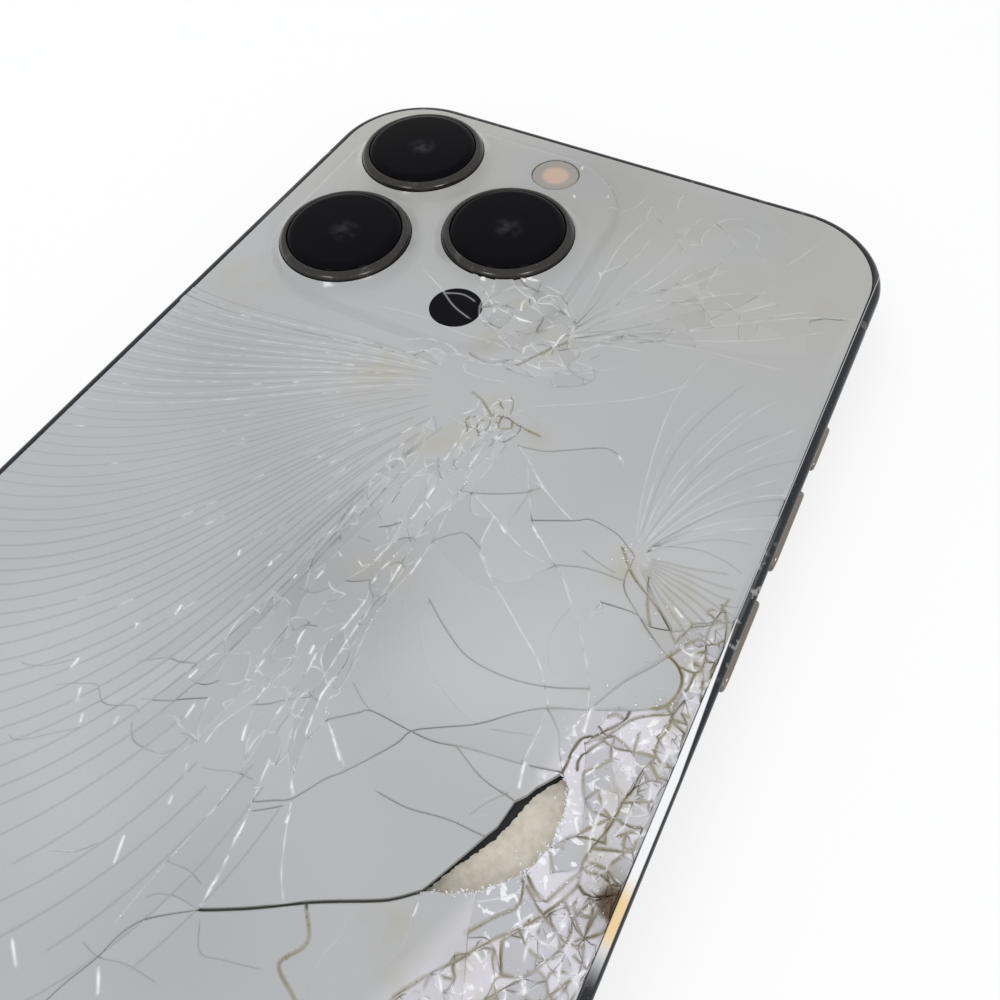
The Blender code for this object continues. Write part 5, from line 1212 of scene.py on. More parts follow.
GREY = (0.425, 0.426, 0.428)
GREY_COOL = (0.42, 0.435, 0.448)
GREY_WARM = (0.405, 0.400, 0.378)
FACET_DEEP = (0.47, 0.47, 0.50)
FACET_PALE = (0.68, 0.66, 0.71)
HIGHLIGHT_WHITE = (0.96, 0.96, 0.97)
STAIN = (0.40, 0.375, 0.26)
EARTH = (0.27, 0.24, 0.15)
CRACK_SHADE = (0.115, 0.12, 0.12)
CRACK_LIGHT = (0.93, 0.93, 0.93)
BURN = (0.10, 0.062, 0.036)
STAINS = [(-29.5, 33.0, 6.5), (32.0, 57.2, 3.6), (6.0, 39.5, 4.5), (-7.5, 28.0, 6.0),
          (5.5, 29.5, 3.4), (11.0, 28.4, 2.4), (24.0, 18.6, 3.0), (33.0, -6.0, 4.0),
          (31.5, 1.0, 4.5), (30.5, 17.5, 5.0), (0.0, 37.0, 3.0), (28.0, -16.0, 6.0),
          (1.8, 43.0, 1.8), (2.0, 24.0, 5.0), (5.0, 8.0, 4.0), (33.8, 12.5, 3.2), (33.6, 7.5, 3.2),
          (32.8, 2.6, 3.2), (31.8, -3.6, 2.6), (24.5, -16.5, 4.0), (21.0, -15.0, 3.0)]
# Burnt spot at the right edge and the singed glass round it: place and radius
BURNT_SPOT = (34.5, -6.2, 1.7)
SINGED_SPOT = (34.2, -6.3, 3.8)
# Borders of the crushed glass: where its paler colour sets in, and where it is full
CRUSH_BORDER = np.array([25.2, 27.2])
CRUSH_LEAN = 0.3
CRUSH_LEANS_FROM = -8.0
CRUSH_TOP = np.array([7.5, 8.0])
EDGE_BORDER = np.array([32.4, 33.0])
EDGE_TOP = np.array([18.0, 14.0])
# Soft light and shade over the pane: place, radius and change of brightness
SHADES = [(22.0, 8.0, 15.0, 0.17), (30.0, 22.0, 12.0, 0.12), (-17.0, -12.0, 14.0, 0.12),
          (-6.0, -20.0, 11.0, 0.10), (-1.0, 68.0, 18.0, -0.17), (20.0, 69.0, 14.0, -0.08),
          (-24.0, 22.0, 15.0, -0.11), (1.0, 5.0, 13.0, -0.18), (-12.0, 14.0, 11.0, -0.08),
          (8.0, -22.0, 12.0, -0.07), (14.0, 2.0, 8.0, 0.06)]


def fissures(tree):
    """The pane's own attributes: where a groove is, its painted shade or glint from dark to bright, how
    much earth it holds, and the painted shade of each shard."""
    return [put(tree, "ShaderNodeAttribute", attribute_name=name).outputs["Fac"]
            for name in ("crack", "glint_and_shade", "earth", "shade")]


def crushed_mask(tree, parts):
    """One on the crushed glass, which ends on the left at a border that leans out below the hole and
    above at a slanted crack, and on the narrow edge beyond it."""
    below = maths(tree, "SUBTRACT", CRUSH_LEANS_FROM * MM, parts["Y"])
    across = maths(tree, "MULTIPLY_ADD", maths(tree, "MAXIMUM", below, 0.0), CRUSH_LEAN, parts["X"])
    under = maths(tree, "SUBTRACT", maths(tree, "MULTIPLY", parts["X"], 0.5), parts["Y"])
    field = maths(tree, "MULTIPLY", ramp(tree, across, *(CRUSH_BORDER * MM)),
                  ramp(tree, under, *(CRUSH_TOP * MM)))
    edge = maths(tree, "MULTIPLY", ramp(tree, parts["X"], *(EDGE_BORDER * MM)),
                 ramp(tree, parts["Y"], *(EDGE_TOP * MM)))
    return maths(tree, "MAXIMUM", field, edge)


def glass_finish(groups):
    """Grey painted glass. The attributes of the pane paint shade and glints into its grooves and soil
    them;
    painted soft light and shade, stains, lilac crushed shards with painted milky highlights and a burnt
    spot come on top."""
    material, tree, shader = finish("shattered_glass", GREY, 0.26)
    place = put(tree, "ShaderNodeTexCoord").outputs["Object"]
    parts = put(tree, "ShaderNodeSeparateXYZ", {"Vector": place}).outputs
    crack, glint_and_shade, earth, shade = fissures(tree)
    cloud = put(tree, "ShaderNodeTexNoise", {"Vector": place, "Scale": 42.0, "Detail": 4.0}).outputs[0]
    cool = ramp(tree, maths(tree, "ADD", parts["Y"], parts["X"]), 0.03, -0.04)
    colour = blend(tree, cool, GREY, GREY_COOL)
    warm = maths(tree, "MULTIPLY", ramp(tree, parts["Y"], 0.036, 0.060), ramp(tree, cloud, 0.3, 0.6))
    colour = blend(tree, warm, colour, GREY_WARM)
    level = maths(tree, "MULTIPLY_ADD", maths(tree, "SUBTRACT", cloud, 0.5), 0.10, 1.0)
    for x, y, radius, change in SHADES:
        level = maths(tree, "MULTIPLY_ADD", spot_mask(tree, place, x, y, radius, 1.0), change, level)
    # Painted brightness of each shard from its shade
    level = maths(tree, "MULTIPLY_ADD", shade, 0.07, level)
    grey = put(tree, "ShaderNodeCombineColor", {"Red": level, "Green": level, "Blue": level}).outputs[0]
    colour = blend(tree, 1.0, colour, grey, "MULTIPLY")
    crushed = crushed_mask(tree, parts)
    # Lilac crushed glass, each shard deeper or paler by its painted shade
    colour = blend(tree, crushed, colour,
                   blend(tree, ramp(tree, shade, -0.7, 0.8), FACET_DEEP, FACET_PALE))
    # Painted highlights: milky white patches on crushed shards
    highlight_noise = put(tree, "ShaderNodeTexNoise",
                 {"Vector": place, "Scale": 620.0, "Detail": 3.0, "Distortion": 1.6}).outputs[0]
    small = ramp(tree, maths(tree, "ABSOLUTE", shade), 0.15, 0.3)
    painted_highlight = maths(tree, "MULTIPLY", ramp(tree, highlight_noise, 0.57, 0.63), crushed)
    painted_highlight = maths(tree, "MULTIPLY", painted_highlight, small)
    colour = blend(tree, maths(tree, "MULTIPLY", painted_highlight, 0.75), colour, HIGHLIGHT_WHITE)
    stained = 0.0
    for x, y, radius in STAINS:
        stained = maths(tree, "MAXIMUM", spot_mask(tree, place, x, y, radius, 1.0), stained)
    patchy = ramp(tree, put(tree, "ShaderNodeTexNoise",
                            {"Vector": place, "Scale": 260.0, "Detail": 5.0}).outputs[0], 0.36, 0.64)
    stain = maths(tree, "MULTIPLY", maths(tree, "MULTIPLY", stained, patchy), 0.45)
    colour = blend(tree, stain, colour, STAIN)
    # Painted shade and painted glints in the grooves
    dark = maths(tree, "MULTIPLY", crack, ramp(tree, glint_and_shade, 0.0, -1.0, smooth=False))
    colour = blend(tree, dark, colour, CRACK_SHADE)
    light = maths(tree, "MULTIPLY", crack, ramp(tree, glint_and_shade, 0.0, 1.0, smooth=False))
    colour = blend(tree, light, colour, CRACK_LIGHT)
    dirty = maths(tree, "MULTIPLY", crack, earth)
    dirty = maths(tree, "MULTIPLY", dirty, maths(tree, "MULTIPLY_ADD", patchy, 0.6, 0.5), clamp=True)
    colour = blend(tree, dirty, colour, EARTH)
    burnt = spot_mask(tree, place, *BURNT_SPOT, 0.5)
    around = maths(tree, "MULTIPLY", spot_mask(tree, place, *SINGED_SPOT, 0.9), 0.5)
    around = maths(tree, "MULTIPLY", around, maths(tree, "MULTIPLY_ADD", patchy, 0.5, 0.6))
    colour = blend(tree, maths(tree, "MAXIMUM", burnt, around), colour, BURN)
    tree.links.new(colour, shader.inputs["Base Color"])
    grime = use(tree, groups["grime"], {"Scale": 55.0, "Film": 0.16, "Specks": 0.1})
    raised = ramp(tree, parts["Z"], (BACK_LEVEL + 0.2) * MM, (PLATEAU_LEVEL - 0.05) * MM)
    rough = maths(tree, "ADD", grime["Film"], ramp(tree, raised, 0.0, 1.0, 0.27, 0.08))
    rough = maths(tree, "MULTIPLY_ADD", crushed, -0.14, rough)
    rough = maths(tree, "MAXIMUM", rough, 0.05)
    tree.links.new(rough, shader.inputs["Roughness"])
    fine = put(tree, "ShaderNodeTexNoise", {"Vector": place, "Scale": 1400.0, "Detail": 2.0}).outputs[0]
    broad = put(tree, "ShaderNodeTexNoise", {"Vector": place, "Scale": 160.0, "Detail": 2.0}).outputs[0]
    height = maths(tree, "MULTIPLY_ADD", broad, 6.0, fine)
    bump = put(tree, "ShaderNodeBump", {"Height": height, "Strength": 0.05, "Distance": 0.0002})
    tree.links.new(bump.outputs[0], shader.inputs["Normal"])
    return material


def window_finish():
    """The black window over the range sensor, where only the cracks show pale, as painted glints."""
    material, tree, shader = finish("sensor_window", (0.004, 0.004, 0.005), 0.12)
    shader.inputs["IOR"].default_value = 1.12
    crack, _, _, _ = fissures(tree)
    tree.links.new(blend(tree, maths(tree, "MULTIPLY", crack, 0.8), (0.004, 0.004, 0.005),
                         (0.50, 0.51, 0.52)), shader.inputs["Base Color"])
    return material


def metal_finish(groups, name, colour, roughness, scuffs=0.3, wear_and_reflection=(0.42, 0.41, 0.39)):
    """Polished metal with a film of grime and hairline scuffs that show paler metal."""
    material, tree, shader = finish(name, colour, roughness, 1.0)
    grime = use(tree, groups["grime"], {"Scale": 140.0, "Film": 0.14, "Specks": 0.3})
    lines = use(tree, groups["scuffs"], {"Amount": scuffs})["Mask"]
    shown = blend(tree, lines, colour, wear_and_reflection)
    shown = blend(tree, grime["Specks"], shown, (0.5, 0.48, 0.44))
    tree.links.new(shown, shader.inputs["Base Color"])
    tree.links.new(maths(tree, "MULTIPLY_ADD", grime["Film"], 1.2, roughness), shader.inputs["Roughness"])
    return material


def band_finish(groups):
    """Dark polished steel, scuffed along its edges. On the right a bright strip is painted along its
    shoulder beside the crushed glass, a painted reflection tinted gold beside the burnt spot."""
    dark_steel = (0.034, 0.036, 0.040)
    material, tree, shader = finish("dark_polished_steel", dark_steel, 0.16, 1.0)
    place = put(tree, "ShaderNodeTexCoord").outputs["Object"]
    parts = put(tree, "ShaderNodeSeparateXYZ", {"Vector": place}).outputs
    grime = use(tree, groups["grime"], {"Scale": 140.0, "Film": 0.2, "Specks": 0.3})
    lines = use(tree, groups["scuffs"], {"Amount": 0.35})["Mask"]
    noise = put(tree, "ShaderNodeTexNoise", {"Vector": place, "Scale": 900.0, "Detail": 6.0}).outputs[0]
    colour = blend(tree, lines, dark_steel, (0.30, 0.30, 0.30))
    right = ramp(tree, parts["X"], 0.02, 0.03)
    along = maths(tree, "MULTIPLY", ramp(tree, parts["Y"], 0.030, 0.022),
                  ramp(tree, parts["Y"], 0.012, 0.016))
    chipped = maths(tree, "MULTIPLY", maths(tree, "MULTIPLY", ramp(tree, noise, 0.54, 0.64), along), right)
    colour = blend(tree, maths(tree, "MULTIPLY", chipped, 0.7), colour, (0.42, 0.42, 0.41))
    # Painted reflection: a bright strip along the right shoulder, narrowing towards the top, gold beside
    # the burnt spot
    taper = ramp(tree, parts["Y"], 0.004, 0.019, 0.0, 0.00062, smooth=False)
    outer = maths(tree, "SUBTRACT", maths(tree, "SUBTRACT", (HALF_WIDTH - 0.24) * MM, parts["X"]), taper)
    wear_and_reflection = maths(tree, "MULTIPLY", ramp(tree, outer, 0.0, 0.00012),
                 ramp(tree, parts["X"], (HALF_WIDTH - RIM + 0.14) * MM, (HALF_WIDTH - RIM + 0.24) * MM))
    wear_and_reflection = maths(tree, "MULTIPLY", wear_and_reflection, ramp(tree, parts["Y"], -0.0120, -0.0080))
    wear_and_reflection = maths(tree, "MULTIPLY", wear_and_reflection, ramp(tree, parts["Z"], 0.0045, 0.0050))
    gold = maths(tree, "MULTIPLY", ramp(tree, parts["Y"], -0.0035, -0.0060),
                 ramp(tree, parts["Y"], -0.0098, -0.0078))
    colour = blend(tree, wear_and_reflection, colour, blend(tree, gold, (0.90, 0.91, 0.93), (0.84, 0.64, 0.36)))
    colour = blend(tree, grime["Specks"], colour, (0.4, 0.38, 0.34))
    tree.links.new(colour, shader.inputs["Base Color"])
    rough = maths(tree, "MULTIPLY_ADD", chipped, 0.2, maths(tree, "ADD", grime["Film"], 0.13))
    tree.links.new(rough, shader.inputs["Roughness"])
    return material


def lens_finish():
    """Black coated glass: nearly no reflection of its own colour, and a faint paler spot painted as a
    highlight of the lens elements behind it."""
    material, tree, shader = finish("lens_glass", (0.004, 0.004, 0.005), 0.05)
    shader.inputs["IOR"].default_value = 1.09
    place = put(tree, "ShaderNodeTexCoord").outputs["Object"]
    # Painted highlight: a faint paler spot in each window
    spot = 0.0
    for x, y in LENS_PLACES.values():
        spot = maths(tree, "MAXIMUM", spot_mask(tree, place, x + 0.4, y - 0.5, 2.3, 1.0), spot)
    noise = put(tree, "ShaderNodeTexNoise", {"Vector": place, "Scale": 900.0, "Detail": 3.0}).outputs[0]
    lens_highlight = maths(tree, "MULTIPLY", spot, ramp(tree, noise, 0.35, 0.7, 0.02, 0.35))
    tree.links.new(blend(tree, lens_highlight, (0.004, 0.004, 0.005), (0.085, 0.085, 0.095)),
                   shader.inputs["Base Color"])
    return material


def flash_finish():
    """Peach diffuser with fine moulded dots."""
    material, tree, shader = finish("flash_diffuser", (0.52, 0.40, 0.32), 0.35)
    place = put(tree, "ShaderNodeTexCoord").outputs["Object"]
    middle = spot_mask(tree, place, FLASH_PLACE[0], FLASH_PLACE[1], 2.0, 0.35)
    dots = put(tree, "ShaderNodeTexVoronoi", {"Vector": place, "Scale": 2600.0}).outputs["Distance"]
    colour = blend(tree, middle, (0.30, 0.28, 0.25), (0.52, 0.375, 0.29))
    tree.links.new(colour, shader.inputs["Base Color"])
    bump = put(tree, "ShaderNodeBump", {"Height": dots, "Strength": 0.4, "Distance": 0.0002})
    tree.links.new(bump.outputs[0], shader.inputs["Normal"])
    return material


def pad_finish():
    """Beige adhesive backing with a fine felt grain."""
    material, tree, shader = finish("beige_backing", (0.50, 0.46, 0.39), 0.85)
    place = put(tree, "ShaderNodeTexCoord").outputs["Object"]
    fine = put(tree, "ShaderNodeTexNoise", {"Vector": place, "Scale": 2200.0, "Detail": 5.0}).outputs[0]
    broad = put(tree, "ShaderNodeTexNoise", {"Vector": place, "Scale": 330.0, "Detail": 4.0}).outputs[0]
    grain = maths(tree, "MULTIPLY_ADD", fine, 0.55, maths(tree, "MULTIPLY", broad, 0.5))
    colour = blend(tree, ramp(tree, grain, 0.36, 0.68), (0.56, 0.505, 0.42), (0.68, 0.63, 0.54))
    tree.links.new(colour, shader.inputs["Base Color"])
    bump = put(tree, "ShaderNodeBump", {"Height": grain, "Strength": 0.3, "Distance": 0.0002})
    tree.links.new(bump.outputs[0], shader.inputs["Normal"])
    return material


def plain_finish(groups, name, colour, roughness, specks=0.15):
    """A plain surface whose gloss and colour vary a little with grime."""
    material, tree, shader = finish(name, colour, roughness)
    grime = use(tree, groups["grime"], {"Scale": 90.0, "Film": 0.12, "Specks": specks})
    dusty = tuple(0.6 * part + 0.2 for part in colour)
    tree.links.new(blend(tree, grime["Specks"], colour, dusty), shader.inputs["Base Color"])
    tree.links.new(maths(tree, "ADD", grime["Film"], roughness), shader.inputs["Roughness"])
    return material


def display_finish(groups):
    """Black display glass, with its lit field a little paler than the border round it."""
    material, tree, shader = finish("display_glass", (0.008, 0.008, 0.009), 0.05)
    place = put(tree, "ShaderNodeTexCoord").outputs["Object"]
    parts = put(tree, "ShaderNodeSeparateXYZ", {"Vector": place}).outputs
    half_wide, half_long, soft = 33.0 * MM, 70.6 * MM, 0.2 * MM
    across = ramp(tree, maths(tree, "ABSOLUTE", parts["X"]), half_wide, half_wide + soft, 1.0, 0.0)
    along = ramp(tree, maths(tree, "ABSOLUTE", parts["Y"]), half_long, half_long + soft, 1.0, 0.0)
    field = maths(tree, "MULTIPLY", across, along)
    colour = blend(tree, field, (0.006, 0.006, 0.006), (0.016, 0.016, 0.019))
    tree.links.new(colour, shader.inputs["Base Color"])
    grime = use(tree, groups["grime"], {"Scale": 60.0, "Film": 0.18, "Specks": 0.1})
    tree.links.new(maths(tree, "ADD", grime["Film"], 0.05), shader.inputs["Roughness"])
    return material


def stadium_loft(name, sections, length, height, side, x, y, z, body, material, node):
    """Stadium outlines of growing and shrinking size carried along X: each section is its distance
    out from the band's face and its inset from the cap's outline. The last closes at a ridge."""
    sections = np.array(sections, float)
    steps = 12
    turn = np.linspace(-math.pi / 2, math.pi / 2, steps + 1)
    rows = []
    for out, inset in sections:
        radius = max(height / 2 - inset, 0.0)
        reach = max(length / 2 - height / 2, 0.0)
        right = np.stack([reach + radius * np.cos(turn), radius * np.sin(turn)], -1)
        loop = np.concatenate([right, -right])
        rows.append(np.column_stack([np.full(len(loop), x + side * out), y + loop[:, 0],
                                     z + loop[:, 1]]))
    count = len(rows[0])
    points = np.concatenate(rows)
    mesh = fill_mesh(name, points, grid_faces(len(rows), count, False, True))
    welded(mesh, 1e-3)
    return piece(mesh, material, body, 40.0, [node])


def buttons(material):
    """Caps of the two volume buttons, the side button and the ring switch, each lofted from the lip
    behind the band to its rounded face."""
    for name, side in (("volume_up", 1), ("volume_down", 1), ("side_button", -1), ("ring_switch", 1)):
        low, high = node_box(name)
        lip = 0.5
        height = 1.7 if name == "ring_switch" else 2.9
        length = high[1] - low[1] - 2 * lip - (2 * FIT if name == "ring_switch" else 0.0)
        deep = (high[0] - low[0]) - 0.5
        y, z = (low[1] + high[1]) / 2, (low[2] + high[2]) / 2
        edge = [(0.5 - 0.34 * (1 - math.sin(a)), 0.34 * (1 - math.cos(a)))
                for a in np.linspace(0, math.pi / 2, 7)]
        sections = [(-deep, height / 2), (-deep, -lip + 0.15), (-deep + 0.15, -lip),
                    (-deep + 0.5, -lip), (-deep + 0.5, 0.0), (0.1, 0.0)]
        sections += [(out, inset) for out, inset in edge]
        sections += [(0.5, height / 2)]
        stadium_loft(name + "_cap", sections, length, height, side, side * HALF_WIDTH, y, z, name,
                     material, name)


def prism(outline, low, high, axis, origin):
    """A prism of an outline drawn across the axis, from low to high along it: its points,
    and how many there are in one outline."""
    outline = np.array(outline, float)
    count = len(outline)
    rows = []
    for depth in (low, high):
        if axis == "x":
            rows.append(np.column_stack([np.full(count, depth), outline[:, 0], outline[:, 1]]))
        else:
            rows.append(np.column_stack([outline[:, 0], np.full(count, depth), outline[:, 1]]))
    return np.concatenate(rows) + np.array(origin), count


def stadium(length, height, steps=10):
    """Points of a slot's outline: two half circles joined by straight sides."""
    turn = np.linspace(-math.pi / 2, math.pi / 2, steps + 1)
    right = np.stack([length / 2 - height / 2 + height / 2 * np.cos(turn), height / 2 * np.sin(turn)],
                     -1)
    return np.concatenate([right, -right])


# Openings in the band: antenna grooves, the charging slot, screw seats and sound holes
ANTENNA_COUNT = 6
ANTENNAS_ON_SIDES = 4
ANTENNA_HALF = 0.55
ANTENNA_FIT = 0.04
PORT_SLOT = (8.9, 3.1)
SCREW_PLACE = 7.4
SCREW_SEAT = 0.97
SOUND_PLACE = 11.5
SOUND_PITCH = 2.3
SOUND_COUNT = 5
SOUND_HOLE = 0.65


def band_openings():
    """One mesh of all the prisms cut out of the band: control slots, antenna grooves, the charging slot,
    screw seats and sound holes."""
    middle = (BAND_LOW[2] + BAND_HIGH[2]) / 2
    shapes = []
    for name, side in (("volume_up", 1), ("volume_down", 1), ("side_button", -1), ("ring_switch", 1)):
        low, high = node_box(name)
        length = high[1] - low[1] - 1.0 + 2 * FIT
        height = (2.7 if name == "ring_switch" else 2.9) + 2 * FIT
        loop = stadium(length, height)
        if name == "ring_switch":
            loop = rounded(length / 2, height / 2, 0.95, steps=6)
        shapes.append((loop, side * (HALF_WIDTH - 4.6), side * (HALF_WIDTH + 1.0), "x",
                       (0.0, (low[1] + high[1]) / 2, middle)))
    for k in range(1, ANTENNA_COUNT + 1):
        low, high = node_box(f"antenna_strip_{k}")
        centre = (low + high) / 2
        half = ANTENNA_HALF + ANTENNA_FIT
        top, bottom = BAND_HIGH[2] + 0.6 - middle, BAND_LOW[2] - 0.6 - middle
        loop = [(-half, bottom), (half, bottom), (half, top), (-half, top)]
        if k <= ANTENNAS_ON_SIDES:
            side = math.copysign(1.0, centre[0])
            shapes.append((loop, side * (HALF_WIDTH - 0.9), side * (HALF_WIDTH + 1.0), "x",
                           (0.0, centre[1], middle)))
        else:
            side = math.copysign(1.0, centre[1])
            shapes.append((loop, side * (HALF_LENGTH - 0.9), side * (HALF_LENGTH + 1.0), "y",
                           (centre[0], 0.0, middle)))
    near = (-HALF_LENGTH + 4.0, -HALF_LENGTH - 1.0, "y")
    shapes.append((stadium(*PORT_SLOT, 14), *near, (0.0, 0.0, middle)))
    for side in (1, -1):
        shapes.append((circle(SCREW_SEAT, steps=28), *near, (side * SCREW_PLACE, 0.0, middle)))
        for k in range(SOUND_COUNT):
            across = side * (SOUND_PLACE + SOUND_PITCH * k)
            shapes.append((circle(SOUND_HOLE, steps=20), *near, (across, 0.0, middle)))
    points, faces, total = [], [], 0
    for loop, low, high, axis, origin in shapes:
        made, count = prism(loop, low, high, axis, origin)
        points.append(made)
        ring = np.arange(count)
        sides = np.stack([ring, (ring + 1) % count, count + (ring + 1) % count, count + ring], -1)
        faces += (sides + total).tolist()
        faces.append((ring[::-1] + total).tolist())
        faces.append((ring + count + total).tolist())
        total += 2 * count
    mesh = bpy.data.meshes.new("openings")
    mesh.from_pydata((np.concatenate(points) * MM).tolist(), [], faces)
    shape = bmesh.new()
    shape.from_mesh(mesh)
    bmesh.ops.recalc_face_normals(shape, faces=shape.faces)
    shape.to_mesh(mesh)
    shape.free()
    return mesh


def band(material):
    """The polished band: a closed profile with round shoulders carried round the outline, then cut."""
    low, high = BAND_LOW[2], BAND_HIGH[2]
    lip = RIM - SEAM
    near_flat = 0.06
    top = arc((SHOULDER, high - SHOULDER), SHOULDER, 90, 180, 12)
    bottom = arc((SHOULDER, low + SHOULDER), SHOULDER, 180, 270, 12)
    profile = np.concatenate([
        [(lip, high - 0.04), (lip - 0.04, high)], top, [(0.0, high - SHOULDER - near_flat)],
        [(0.0, low + SHOULDER + near_flat)], bottom, [(lip - 0.04, low), (lip, low + 0.04)],
        [(lip, 1.9), (2.6, 1.9), (2.6, 5.98), (2.35, 5.98), (2.35, 6.7), (lip, 6.7)],
    ])
    mesh = outline_sweep("polished_band", profile)
    cutter = bpy.data.objects.new("openings", band_openings())
    body = bpy.data.objects.new("blank", mesh)
    for made in (cutter, body):
        bpy.context.scene.collection.objects.link(made)
    cut = body.modifiers.new("openings", "BOOLEAN")
    cut.operation = "DIFFERENCE"
    cut.solver = "EXACT"
    cut.use_self = True
    cut.object = cutter
    graph = bpy.context.evaluated_depsgraph_get()
    result = bpy.data.meshes.new_from_object(body.evaluated_get(graph))
    for made in (cutter, body):
        bpy.data.objects.remove(made)
    bpy.data.meshes.remove(mesh)
    result.name = "polished_band"
    return piece(result, material, sharp=28.0, stands_for=["frame_band"])


def antenna_lines(material):
    """Plastic fillings of the grooves: the band's own outer profile, sunk a little, drawn across each
    groove, with a flat back."""
    low, high = BAND_LOW[2], BAND_HIGH[2]
    sunk = 0.03
    radius = SHOULDER - sunk
    top = arc((SHOULDER, high - SHOULDER), radius, 92, 180, 8)
    bottom = arc((SHOULDER, low + SHOULDER), radius, 180, 268, 8)
    deep = 0.84
    keep = np.concatenate([top, bottom])
    keep = keep[keep[:, 0] < deep - 0.02]
    profile = np.concatenate([[(deep, keep[0, 1])], keep, [(deep, keep[-1, 1])]])
    for k in range(1, ANTENNA_COUNT + 1):
        name = f"antenna_strip_{k}"
        box_low, box_high = node_box(name)
        centre = (box_low + box_high) / 2
        rows = []
        for share in (-1, 1):
            along = share * ANTENNA_HALF
            if k <= ANTENNAS_ON_SIDES:
                side = math.copysign(1.0, centre[0])
                rows.append(np.column_stack([side * (HALF_WIDTH - profile[:, 0]),
                                             np.full(len(profile), centre[1] + along), profile[:, 1]]))
            else:
                side = math.copysign(1.0, centre[1])
                rows.append(np.column_stack([np.full(len(profile), centre[0] + along),
                                             side * (HALF_LENGTH - profile[:, 0]), profile[:, 1]]))
        count = len(profile)
        ring = np.arange(count)
        faces = np.stack([ring, (ring + 1) % count, count + (ring + 1) % count, count + ring], -1).tolist()
        faces += [ring.tolist(), (ring[::-1] + count).tolist()]
        mesh = bpy.data.meshes.new(f"antenna_line_{k}")
        mesh.from_pydata((np.concatenate(rows) * MM).tolist(), [], faces)
        piece(welded(mesh), material, sharp=40.0, stands_for=[name])


def cameras(steel, glass):
    """Each camera as two turned profiles: the polished ring with a wide rounded shoulder and a bevel
    inside, and the black cover as a low dome whose edge rolls down into the ring."""
    inner = RING_RADIUS - 0.9
    bore = 5.32
    shoulder = 0.8
    lip_top = RING_TOP - 0.5
    seat = RING_TOP - 1.3
    cover_radius = inner - FIT / 2
    roll, sag, drop = 1.1, 0.14, 0.72
    for letter, place in LENS_PLACES.items():
        outer = arc((RING_RADIUS - shoulder, lip_top - shoulder), shoulder, 84, 0, 12)
        ring = np.concatenate([
            outer, [(RING_RADIUS, RING_BASE + 0.5), (RING_RADIUS, RING_BASE)],
            [(bore, RING_BASE), (bore, seat), (inner, seat), (inner, lip_top - 0.08)],
        ])
        mesh = lathe_mesh(f"lens_bezel_{letter}", ring, place)
        piece(mesh, steel, sharp=32.0, stands_for=["lens_ring_" + letter])
        share = np.linspace(0, 1, 12)
        flat = cover_radius - roll
        dome = np.column_stack([share * flat, RING_TOP - sag * share**2])
        turn = np.radians(np.linspace(87, 0, 14))
        edge = np.column_stack([flat + roll * np.cos(turn),
                                RING_TOP - sag - drop * (1 - np.sin(turn))])
        cover = np.concatenate([dome, edge[1:], [(cover_radius, seat + 0.1), (0.0, seat + 0.1)]])
        mesh = lathe_mesh(f"lens_window_{letter}", cover, place)
        piece(mesh, glass, sharp=35.0, stands_for=["lens_cover_" + letter])


def flash(material):
    """The flash diffuser: a shallow dish inside a raised rim."""
    base, _ = node_box("flash_lens")
    top = PLATEAU_LEVEL
    r = FLASH_RADIUS
    profile = [(0.0, top - 0.16), (0.9, top - 0.17), (1.7, top - 0.13), (2.1, top - 0.06),
               (2.3, top), (2.6, top), (2.8, top - 0.04), (r, top - 0.12), (r, base[2]),
               (0.0, base[2])]
    mesh = lathe_mesh("flash_diffuser", profile, FLASH_PLACE, 64)
    piece(mesh, material, sharp=50.0, stands_for=["flash_lens"])


def torn_pad(material):
    """The beige pad under the lost shard: a grid between its torn left edge and the band, with a grain
    of sines on its face, a closed rim and a flat underside."""
    low, high = node_box("backing_pad")
    rows, columns = 150, 70
    y = np.linspace(low[1], high[1], rows)
    edge_y = [-24.0, -14.5, -12.6, -11.8, -9.8, -8.0, -6.2, -4.4, -2.6, -1.2, 0.3, 3.0]
    edge_x = [19.0, 19.0, 21.2, 22.1, 23.0, 24.0, 24.95, 25.5, 25.95, 26.6, 27.7, 29.5]
    left = np.interp(y, edge_y, edge_x)
    left = left + 0.05 * np.sin(y * 7.0 + 2 * np.sin(y * 1.7)) + 0.035 * np.sin(y * 19.0 + 3 * np.sin(y))
    share = np.linspace(0, 1, columns)
    x = left[:, None] + (high[0] - left)[:, None] * share
    yy = np.broadcast_to(y[:, None], x.shape)
    grain = 0.012 * np.sin(x * 17.0 + 3 * np.sin(yy * 5.0)) * np.sin(yy * 19.0 + 2 * np.sin(x * 7.0))
    lift = 0.05 * np.exp(-((x - left[:, None]) / 0.5) ** 2) * (1 + np.sin(yy * 6.0)) / 2
    z = high[2] - 0.03 + grain + lift
    top = np.stack([x, yy, z], -1).reshape(-1, 3)
    bottom = top.copy()
    bottom[:, 2] = low[2]
    count = rows * columns
    upper = grid_faces(rows, columns)
    lower = upper[:, ::-1] + count
    grid = np.arange(count).reshape(rows, columns)
    rim = np.concatenate([grid[0, :-1], grid[:-1, -1], grid[-1, :0:-1], grid[:0:-1, 0]])
    after = np.roll(rim, -1)
    sides = np.stack([rim, rim + count, after + count, after], -1)
    mesh = fill_mesh("torn_backing", np.concatenate([top, bottom]),
                     np.concatenate([upper, lower, sides]))
    piece(welded(mesh), material, sharp=60.0, stands_for=["backing_pad"])


